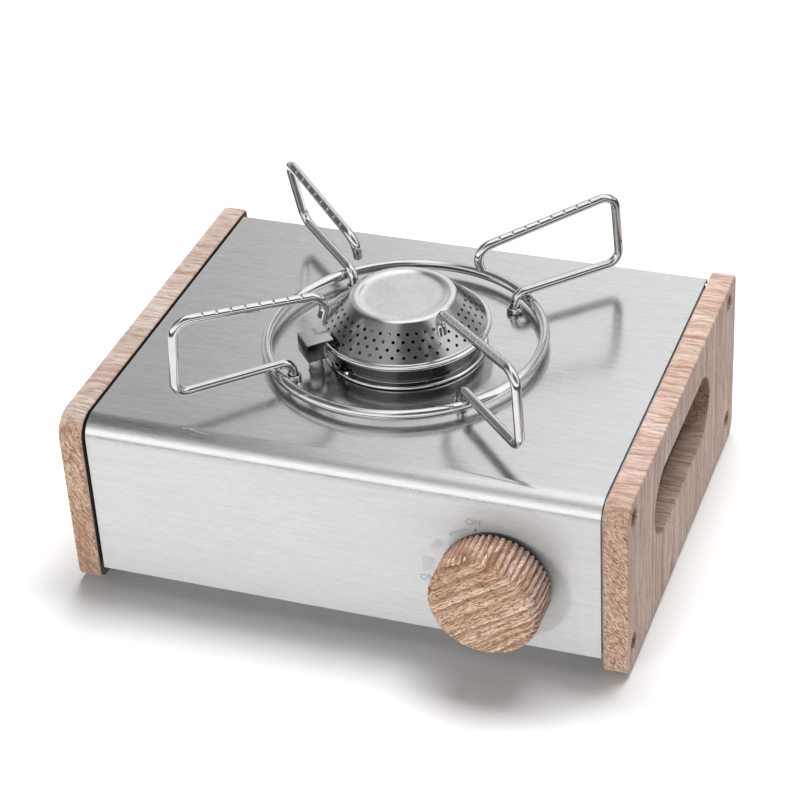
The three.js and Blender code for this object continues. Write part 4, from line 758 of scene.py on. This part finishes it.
def burner_crown():
    """The pressed cap: a dished top and a cone with four staggered rows of round ports."""
    slope = math.hypot(CONE_FOOT[0] - CONE_TOP[0], CONE_FOOT[1] - CONE_TOP[1])
    columns = 2 * PORTS
    cap = Turned(columns, lambda radius, height, angle: (
        BURNER.x + radius * math.cos(angle), BURNER.y + radius * math.sin(angle), PLATE_TOP + height))
    dish = [cap.ring(radius * MM, height * MM) for radius, height in DISH]
    centre = cap.ring(0, DISH[0][1] * MM)
    edges = [PORT_FIRST - PORT_STEP / 2 + row * PORT_STEP for row in range(PORT_ROWS + 1)]
    boundary = [cap.ring(*on_cone(share)) for share in edges]
    cap.join([centre, *dish, boundary[0]])
    # Each port sits in its own cell, two columns wide.
    for row in range(PORT_ROWS):
        share = PORT_FIRST + row * PORT_STEP
        upper, lower = boundary[row], boundary[row + 1]
        for place in range(row % 2, row % 2 + columns, 2):
            left, middle, right = (k % columns for k in (place - 1, place, place + 1))
            hole = []
            for k in range(PORT_SIDES):
                turn = FULL_TURN * k / PORT_SIDES
                aside = PORT_RADIUS * math.sin(turn) / on_cone(share)[0]
                hole.append(cap.corner(*on_cone(share - PORT_RADIUS * math.cos(turn) / slope),
                                       math.pi * place / PORTS - aside))
            # The cell's corners go round in the hole's order, from the middle of the upper edge.
            rim = [upper[middle], upper[left], lower[left], lower[middle], lower[right], upper[right]]
            for a, b, (start, end) in zip(rim, rim[1:] + rim[:1], PORT_SPANS):
                fan = [hole[m % PORT_SIDES] for m in range(start, end + 1)]
                half = len(fan) // 2
                cap.faces += [(a, fan[m], fan[m + 1]) for m in range(half)] + [(a, fan[half], b)]
                cap.faces += [(b, fan[m], fan[m + 1]) for m in range(half, len(fan) - 1)]
    foot = [on_cone(0.985), (33.6 * MM, 12.28 * MM), (33.9 * MM, 12.1 * MM), (34.1 * MM, 12.0 * MM)]
    cap.join([boundary[-1], *(cap.ring(radius, height) for radius, height in foot)])
    crown = mesh_object("burner_crown", cap.corners, cap.faces, SPUN, sheet=True)
    wall = crown.modifiers.new("wall", "SOLIDIFY")
    wall.thickness = CAP_WALL
    wall.offset = -1
    wall.use_even_offset = False
    settle(crown, 38)
    adopt(crown, "case", "polished_steel", "burner_cap")


def burner_bowl():
    """The pressed bowl under the cap, its flange, foot lip and neck."""
    foot = (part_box("burner_body")[0].z - PLATE_TOP) / MM
    profile = [
        (9, foot), (9, 0.3), (33.6, 0.3), (34, 0.55), (34, 0.95), (33.7, 1.35), (33.2, 1.6), (31.25, 1.62),
        (31.05, 1.68), (31, 1.85), (31, 8.6), (31.15, 9.2), (31.6, 9.6), (32.4, 9.8), (34.9, 9.8),
        (35.3, 9.95), (35.55, 10.3), (35.6, 10.75), (35.55, 11.2), (35.3, 11.55), (34.9, 11.7),
        (29.8, 11.7), (29.8, 1.6), (7.8, 1.6), (7.8, foot),
    ]
    bowl = over_plate("burner_bowl", profile, BURNER, BOWL, 128, 40, closed=True)
    flatten(bowl)
    adopt(bowl, "case", "polished_steel", "burner_body")


burner_crown()
burner_bowl()

# ---- trivet
RING_RADIUS = 57.1  # mm, and so are the next two
RING_WIRE = 2.2
RING_HEIGHT = 4.2
RING_SIDES = 24
WIRE = 2 * MM
SUPPORTS = [(-45, 0), (45, 0), (135, 12), (225, 0)]  # azimuth and lean in degrees
# Places on a support: out from the burner's axis and above the plate.
LEG_TOP = (50.5 * MM, 8.55 * MM)
POST_FOOT = (101 * MM, 9.6 * MM)
POST_TOP = (98.4 * MM, 42.6 * MM)
ROD_END = (33 * MM, 34.8 * MM)
FREE_END = (36 * MM, 25 * MM)
NOTCHES = [44.5 * MM + 6 * MM * i for i in range(8)]
NOTCH_HALF = 0.4 * MM
NOTCH_DEPTH = 0.6 * MM
NOTCH_STATIONS = (-0.75, -0.45, -0.3, 0, 0.3, 0.45, 0.75)  # mm from a notch's middle


def trivet_hoop():
    turns = [FULL_TURN * k / RING_SIDES for k in range(RING_SIDES)]
    section = [(RING_RADIUS + RING_WIRE * math.cos(turn), RING_HEIGHT + RING_WIRE * math.sin(turn))
               for turn in turns]
    hoop = over_plate("trivet_hoop", section, BURNER, BRIGHT, 220, 60, closed=True)
    adopt(hoop, "trivet", "polished_steel", "trivet_ring")


def support_wire(number, azimuth, lean):
    """One bent wire: leg, lower rod, outer post, notched top rod and its free end."""
    leg_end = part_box(f"pan_support_{number}")[0].z - PLATE_TOP
    bends = [((LEG_TOP[0], leg_end), 0), (LEG_TOP, 5 * MM), (POST_FOOT, 5.5 * MM), (POST_TOP, 6.5 * MM),
             (ROD_END, 6 * MM), (FREE_END, 0)]
    coarse = filleted([((out, 0, up), radius) for (out, up), radius in bends], 5.0)
    stations = coarse[:1]
    for a, b in zip(coarse, coarse[1:]):
        run, shares = b - a, []
        if run.length > 40 * MM and a.z > 20 * MM:
            # Fine stations along the top rod, so that each notch has its own facets.
            shares = sorted((out + shift * MM - a.x) / run.x for out in NOTCHES for shift in NOTCH_STATIONS)
        elif run.length > 8 * MM:
            shares = (0.25, 0.5, 0.75)
        stations += [a + run * share for share in shares if 0 < share < 1] + [b]
    rise = (POST_TOP[1] - ROD_END[1]) / (POST_TOP[0] - ROD_END[0])
    drop = WIRE / math.cos(math.atan(rise)) - NOTCH_DEPTH

    def press(centre, corner):
        if centre.z > 30 * MM and any(abs(centre.x - out) < NOTCH_HALF for out in NOTCHES):
            corner.z = min(corner.z, ROD_END[1] + (centre.x - ROD_END[0]) * rise + drop)
        return corner

    wire = tube(f"support_wire_{number}", stations, WIRE, BRIGHT, 24, press, 42)
    angle, turn = math.radians(lean), math.radians(azimuth)
    for vertex in wire.data.vertices:
        x, y, z = vertex.co
        over = z - LEG_TOP[1]
        if over > 0:
            y, z = (y * math.cos(angle) + over * math.sin(angle),
                    LEG_TOP[1] + over * math.cos(angle) - y * math.sin(angle))
        vertex.co = (BURNER.x + x * math.cos(turn) - y * math.sin(turn),
                     BURNER.y + x * math.sin(turn) + y * math.cos(turn), PLATE_TOP + z)
    soften(wire, 0.25 * MM, 3, 60)
    flatten(wire)
    adopt(wire, "trivet", "polished_steel", f"pan_support_{number}")


def socket_cup(number):
    low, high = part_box(f"leg_socket_{number}")
    foot = (low.z - PLATE_TOP) / MM
    profile = [
        (0, foot), (2.9, foot), (2.9, 0.3), (3.2, 0.3), (3.3, 0.4), (3.3, 1.9), (3.22, 2.2), (3.05, 2.45),
        (2.8, 2.6), (2.6, 2.6), (2.4, 2.5), (2.3, 2.3), (2.3, foot + 0.6), (0, foot + 0.6),
    ]
    cup = over_plate(f"socket_cup_{number}", profile, (low + high) / 2, BRIGHT, 48, 35)
    adopt(cup, "case", "polished_steel", f"leg_socket_{number}")


trivet_hoop()
for support_number, (support_azimuth, support_lean) in enumerate(SUPPORTS, 1):
    support_wire(support_number, support_azimuth, support_lean)
    socket_cup(support_number)

# ---- knob
FLUTES = 52
FLUTE_STEPS = 12
KNOB_BORE = 8.4 * MM
KNOB_BORE_DEPTH = 12 * MM
NICK_PLACE = (-1.6 * MM, 10.4 * MM)  # of the crescent's centre, from the axis
NICK_RADII = (2.5 * MM, 3.4 * MM)
NICK_STEPS = 16


def fluted_knob():
    """The wooden knob: fluted side, rounded face with a nick, and a blind bore at the back."""
    low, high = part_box("knob")
    axis_x, axis_z = (low.x + high.x) / 2, (low.z + high.z) / 2
    front, back = low.y, high.y
    turned = Turned(FLUTES * FLUTE_STEPS, lambda radius, y, angle: (
        axis_x + radius * math.cos(angle), y, axis_z + radius * math.sin(angle)))

    def fluted(inset):
        """The radius at each segment, with narrow grooves between broad ridges that fade at the face."""
        fade = max(0.0, 1 - inset / (0.8 * KNOB_ROUND))
        grooved = [abs(math.cos(math.pi * i / FLUTE_STEPS)) ** 4 for i in range(FLUTE_STEPS)]
        return lambda i: KNOB_RADIUS - inset - FLUTE_DEPTH * fade * grooved[i % FLUTE_STEPS]

    levels = [(back + (front + KNOB_ROUND - back) * k / 6, 0.0) for k in range(7)]
    for k in range(1, 11):
        angle = math.pi / 2 * k / 10
        levels.append((front + KNOB_ROUND * (1 - math.sin(angle)), KNOB_ROUND * (1 - math.cos(angle))))
    rings = [turned.ring(fluted(inset), y) for y, inset in levels]
    rings += [turned.ring((KNOB_RADIUS - KNOB_ROUND) * share, front) for share in (0.9, 0.7, 0.5, 0.3, 0.12)]
    turned.join([*rings, turned.ring(0, front)])
    bottom = back - KNOB_BORE_DEPTH
    turned.join([rings[0], turned.ring(KNOB_BORE, back), turned.ring(KNOB_BORE, bottom),
                 turned.ring(0, bottom)])
    knob = mesh_object("fluted_knob", turned.corners, turned.faces, KNOB_WOOD)
    carve(knob, [nick_cutter(axis_x, axis_z, front)], 40)
    flatten(knob)
    adopt(knob, "knob", "wood", "knob")


def nick_cutter(axis_x, axis_z, front):
    """A cutter for a crescent tool mark on the face, bulging up and to the right."""
    centre_x, centre_z = axis_x + NICK_PLACE[0], axis_z + NICK_PLACE[1]
    inner, outer = NICK_RADII
    corners = []
    for k in range(NICK_STEPS + 1):
        angle = math.radians(90 * k / NICK_STEPS)
        width = math.sin(math.pi * (0.04 + 0.92 * k / NICK_STEPS))
        for y, grow in ((front - 1 * MM, 1.0), (front + 0.5 * MM, 0.35)):
            half = (outer - inner) / 2 * width * grow
            for radius in ((outer + inner) / 2 - half, (outer + inner) / 2 + half):
                corners.append((centre_x + radius * math.cos(angle), y, centre_z + radius * math.sin(angle)))
    loops = [[4 * k, 4 * k + 1, 4 * k + 3, 4 * k + 2] for k in range(NICK_STEPS + 1)]
    return mesh_object("nick", corners, [*bands(loops), loops[0], loops[-1][::-1]], KNOB_WOOD)


fluted_knob()


# ---- igniter
def ceramic_tube():
    low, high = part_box("igniter_ceramic")
    foot, top = ((corner.z - PLATE_TOP) / MM for corner in (low, high))
    profile = [(0.9, foot), (2.95, foot), (2.95, top - 0.6), (2.85, top - 0.25), (2.6, top - 0.05),
               (2.3, top), (0.9, top)]
    piece = over_plate("ceramic_tube", profile, (low + high) / 2, CERAMIC, 48, 40, closed=True)
    adopt(piece, "case", "ceramic", "igniter_ceramic")


ceramic_tube()

# ---- dial print
PRINT_OVER, PRINT_UNDER = 0.04 * MM, 0.01 * MM  # in front of the steel's face and behind it
LETTER_HEIGHT = 2.9 * MM
CAPITALS = 0.72  # height of a capital for a font size of 1
LETTER_DEPTH = 0.02 * MM
WORDS = [("dial_off", "OFF", 56.5 * MM, 63.4 * MM, 0), ("dial_on", "ON", 36.4 * MM, 32.8 * MM, 8)]
DOT_X, DOT_Z, DOT_RADIUS = 56.9 * MM, 60.0 * MM, 0.55 * MM
# Each bar's first and last end: angle in degrees round the knob, inner and outer radius in mm.
BARS = [
    ((118, 23.2, 24.3), (138, 24.6, 26.1), THIN_PRINT), ((149, 24.6, 27.8), (160.5, 25.0, 28.6), PRINT),
    ((171, 25.6, 30.6), (185, 26.0, 30.8), PRINT),
]
BAR_STEPS = 14


def printed(name, points, steel_y, material):
    """A flat printed patch on the front face, from its outline in X and Z."""
    count = len(points)
    corners = [(x, y, z) for y in (steel_y - PRINT_OVER, steel_y + PRINT_UNDER) for x, z in points]
    front, back = list(range(count)), list(range(count, 2 * count))
    patch = mesh_object(name, corners, [front, back[::-1], *bands([front, back])], material)
    adopt(patch, "case", "brushed_steel")


def lettering(name, text, x, z, turn, steel_y):
    """A printed word round its middle, turned clockwise by degrees."""
    data = bpy.data.curves.new(name, "FONT")
    data.body = text
    data.size = LETTER_HEIGHT / CAPITALS
    data.align_x = data.align_y = "CENTER"
    data.extrude = LETTER_DEPTH
    data.materials.append(LETTERS)
    letters = bpy.data.objects.new(name, data)
    collection.objects.link(letters)
    letters.rotation_euler = (math.radians(90), math.radians(-turn), 0)
    letters.location = (x, steel_y - LETTER_DEPTH, z)
    adopt(letters, "case", "brushed_steel")


def bar_outline(centre, first, last):
    """A band round centre between two ends, each (angle in degrees, inner radius, outer radius) in mm."""
    inner, outer = [], []
    for k in range(BAR_STEPS + 1):
        angle, low, high = (a + (b - a) * k / BAR_STEPS for a, b in zip(first, last))
        angle = math.radians(angle)
        for loop, radius in ((inner, low * MM), (outer, high * MM)):
            loop.append((centre.x + radius * math.cos(angle), centre.z + radius * math.sin(angle)))
    return outer + inner[::-1]


def dial():
    steel_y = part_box("case_shell")[0].y
    for name, text, x, z, turn in WORDS:
        lettering(name, text, x, z, turn, steel_y)
    dot = [(DOT_X + DOT_RADIUS * math.cos(a), DOT_Z + DOT_RADIUS * math.sin(a))
           for a in np.linspace(0, FULL_TURN, 20, endpoint=False)]
    printed("dial_dot", dot, steel_y, DOT)
    for i, (first, last, material) in enumerate(BARS, 1):
        printed(f"dial_mark_{i}", bar_outline(middle_of("knob"), first, last), steel_y, material)


dial()

# ---- finishes of the CAD nodes that stay
WELD = 0.005 * MM


def smooth_group():
    """Joins a CAD node's split corners and shades it smooth apart from its real edges."""
    group = bpy.data.node_groups.new("smooth_faces", "GeometryNodeTree")
    for way in ("INPUT", "OUTPUT"):
        group.interface.new_socket("Geometry", in_out=way, socket_type="NodeSocketGeometry")
    nodes, links = group.nodes, group.links
    source, sink = nodes.new("NodeGroupInput"), nodes.new("NodeGroupOutput")
    merge = nodes.new("GeometryNodeMergeByDistance")
    merge.inputs["Distance"].default_value = WELD
    faces = nodes.new("GeometryNodeSetShadeSmooth")
    edges = nodes.new("GeometryNodeSetShadeSmooth")
    edges.domain = "EDGE"
    edges.inputs["Shade Smooth"].default_value = False
    angle = nodes.new("GeometryNodeInputMeshEdgeAngle")
    sharp = nodes.new("FunctionNodeCompare")
    sharp.operation = "GREATER_THAN"
    sharp.inputs[1].default_value = math.radians(36)
    for before, after in zip((source, merge, faces, edges), (merge, faces, edges, sink)):
        links.new(before.outputs[0], after.inputs[0])
    links.new(angle.outputs["Unsigned Angle"], sharp.inputs[0])
    links.new(sharp.outputs[0], edges.inputs["Selection"])
    return group


SMOOTH = smooth_group()
FINISHES = {
    SCREW: ("panel_screw",),
    RUBBER: ("foot_pad", "spark_lead"),
    END_STEEL: ("end_plate", "base_plate"),
    DOOR_STEEL: ("rear_door",),
    PRESSED: ("heat_shield",),
    PLASTIC: ("knob_insert", "ignition_cam", "piezo_unit"),
    BRASS: ("valve_spindle", "piezo_plunger", "gas_jet"),
    COPPER: ("feed_pipe",),
    CASTING: ("valve_body", "mixing_tube", "regulator"),
    FERRITE: ("canister_magnet", "door_magnet"),
    ZINC: ("valve_bracket", "valve_screw", "door_hinge", "hinge_pin", "igniter_electrode"),
    BRIGHT: ("burner_rivet",),
    HOOD: ("spark_hood",),
}
BEVELLED = ("rear_door", "base_plate", "end_plate", "foot_pad", "spark_hood", "valve_body", "valve_bracket",
            "door_magnet", "regulator", "panel_screw", "knob_insert", "door_hinge")
BEVEL = 0.15 * MM
HOOD_BEVEL = 0.29 * MM


def finish_node(name, node):
    """A material, smooth shading and, where its edges show, a small bevel."""
    material = next((m for m, starts in FINISHES.items() if name.startswith(starts)), None)
    if material is None:
        return
    node.data.materials.clear()
    node.data.materials.append(material)
    if "custom_normal" in node.data.attributes:
        node.data.attributes.remove(node.data.attributes["custom_normal"])
    if name.startswith(BEVELLED):
        node.modifiers.new("weld", "WELD").merge_threshold = WELD
        soften(node, HOOD_BEVEL if name == "spark_hood" else BEVEL, 2, 40)
    node.modifiers.new("smooth", "NODES").node_group = SMOOTH


for node_name, node_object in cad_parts.items():
    if not node_object.hide_render:
        finish_node(node_name, node_object)

# ---- floor, light and world
FLOOR_HALF = 6.0
FLOOR_DROP = 0.0002  # so that the rubber pads don't share its plane
FLOOR_WHITE = (0.95, 0.95, 0.95)
# The edges in metres of the white table that the metal mirrors: axis, where it starts to darken and its end.
TABLE_EDGES = [(0, 0.16, 0.3), (0, -0.28, -0.42), (1, 0.22, 0.36), (1, -0.32, -0.46)]
SKY = 1.5  # the brightest wall of the studio in reflections, before its ramps
LEFT_WALL = [(0, 0.60), (0.49, 0.60), (0.555, 0.54), (0.608, 0.33), (0.664, 0.17), (0.72, 0.10), (0.775, 0.10),
             (0.803, 0.15), (0.831, 0.25), (0.858, 0.40), (0.886, 0.55), (0.914, 0.82), (0.942, 1), (0.97, 1),
             (1, 0.85)]
RIGHT_WALL = [(0, 0.64), (0.49, 0.64), (0.608, 0.74), (0.664, 0.84), (0.70, 1), (0.747, 1), (0.775, 1),
              (0.803, 0.72), (0.831, 0.52), (0.858, 0.46), (0.886, 0.62), (0.914, 0.84), (0.942, 1), (0.97, 1),
              (1, 0.85)]
LEFT_TO_RIGHT = [(0.31, 0), (0.325, 0.2), (0.34, 0.5), (0.395, 1)]
FAR_RIGHT = [(0, 0.6), (0.535, 0.62), (0.56, 0.34), (0.61, 0.34), (0.64, 0.95), (0.755, 1), (0.785, 0.10),
             (0.88, 0.12), (0.925, 0.5), (0.955, 0.95), (1, 0.9)]


def floor():
    mesh = bpy.data.meshes.new("floor")
    corners = [(x * FLOOR_HALF, y * FLOOR_HALF, 0) for x, y in ((-1, -1), (1, -1), (1, 1), (-1, 1))]
    mesh.from_pydata(corners, [], [(0, 1, 2, 3)])
    plane = bpy.data.objects.new("floor", mesh)
    collection.objects.link(plane)
    plane.location.z = -FLOOR_DROP
    n = Nodes(bpy.data.materials.new("floor_white"))
    diffuse = n.add("BsdfDiffuse", {"Color": FLOOR_WHITE})
    place = n.parts(n.add("NewGeometry").outputs["Position"])
    # In the metal the floor shows as a white table with a dark room beyond its four edges.
    beyond = 0
    for axis, start, end in TABLE_EDGES:
        beyond = n.math("MAXIMUM", beyond, n.span(place[axis], start, end))
    path = n.add("LightPath").outputs
    mirrored = path["Is Glossy Ray"]
    glow = n.add("Emission", {"Strength": n.plus(n.times(mirrored, n.span(beyond, 0, 1, 1.3, 0.08)),
                                                 n.minus(1, mirrored))})
    direct = n.span(path["Diffuse Depth"], 0, 1, 1, 0)
    mirrored = n.times(n.times(mirrored, direct), n.span(beyond, 0, 1, 0.75, 0.95))
    # Far from the stove, where the lamps fall off, the camera sees the floor as white as the background.
    away = n.math("SQRT", n.plus(n.math("POWER", place[0], 2), n.math("POWER", place[1], 2)))
    seen = n.math("MAXIMUM", path["Is Camera Ray"], path["Is Transmission Ray"])
    faded = n.times(seen, n.span(away, 0.3, 0.6))
    both = n.add("MixShader", (n.math("MAXIMUM", mirrored, faded), diffuse.outputs[0], glow.outputs[0]))
    n.add("OutputMaterial", {"Surface": both.outputs[0]})
    mesh.materials.append(n.owner)


def softbox(name, place, target, size, power):
    """A rectangular lamp that only lights; the world's ramps hold what the metal mirrors."""
    data = bpy.data.lights.new(name, "AREA")
    data.shape = "RECTANGLE"
    data.size, data.size_y = size
    data.energy = power
    lamp = bpy.data.objects.new(name, data)
    collection.objects.link(lamp)
    lamp.location = place
    lamp.rotation_euler = (Vector(target) - Vector(place)).to_track_quat("-Z", "Y").to_euler()
    lamp.visible_glossy = False


def studio():
    """White for the camera, and in reflections grey ramps for the walls and panels of a studio."""
    n = Nodes(bpy.data.worlds.new("studio"))
    bpy.context.scene.world = n.owner
    x, y, z = n.parts(n.add("TexCoord").outputs["Generated"])
    # Round the X axis: 0.5 is the far horizon, 0.75 overhead and 1 the near horizon.
    round_x = n.span(n.math("ARCTAN2", z, y), -math.pi, math.pi)
    rightness = n.ramp(n.span(x, -1, 1), *LEFT_TO_RIGHT)
    sky = n.mix(rightness, n.ramp(round_x, *LEFT_WALL), n.ramp(round_x, *RIGHT_WALL))
    # To the photographer's right the room is dark between the overhead panel and the two horizons.
    sky = n.mix(n.span(x, 0, 0.12), sky, n.ramp(round_x, *FAR_RIGHT))
    path = n.add("LightPath").outputs
    background = n.add("Background", {
        "Color": n.mix(path["Is Camera Ray"], n.tint(sky, (SKY, SKY, SKY)), (1, 1, 1)),
        "Strength": n.span(path["Diffuse Depth"], 0, 1, 1, 0.22),
    })
    n.add("OutputWorld", {"Surface": background.outputs[0]})
    bpy.context.scene.view_settings.view_transform = "Standard"


floor()
studio()
softbox("key", (0.06, 0.39, 1.28), (0, 0, 0.04), (1.0, 0.6), 25)
softbox("front", (-0.5, -1.55, 0.34), (0, 0, 0.05), (0.24, 0.2), 9.4)
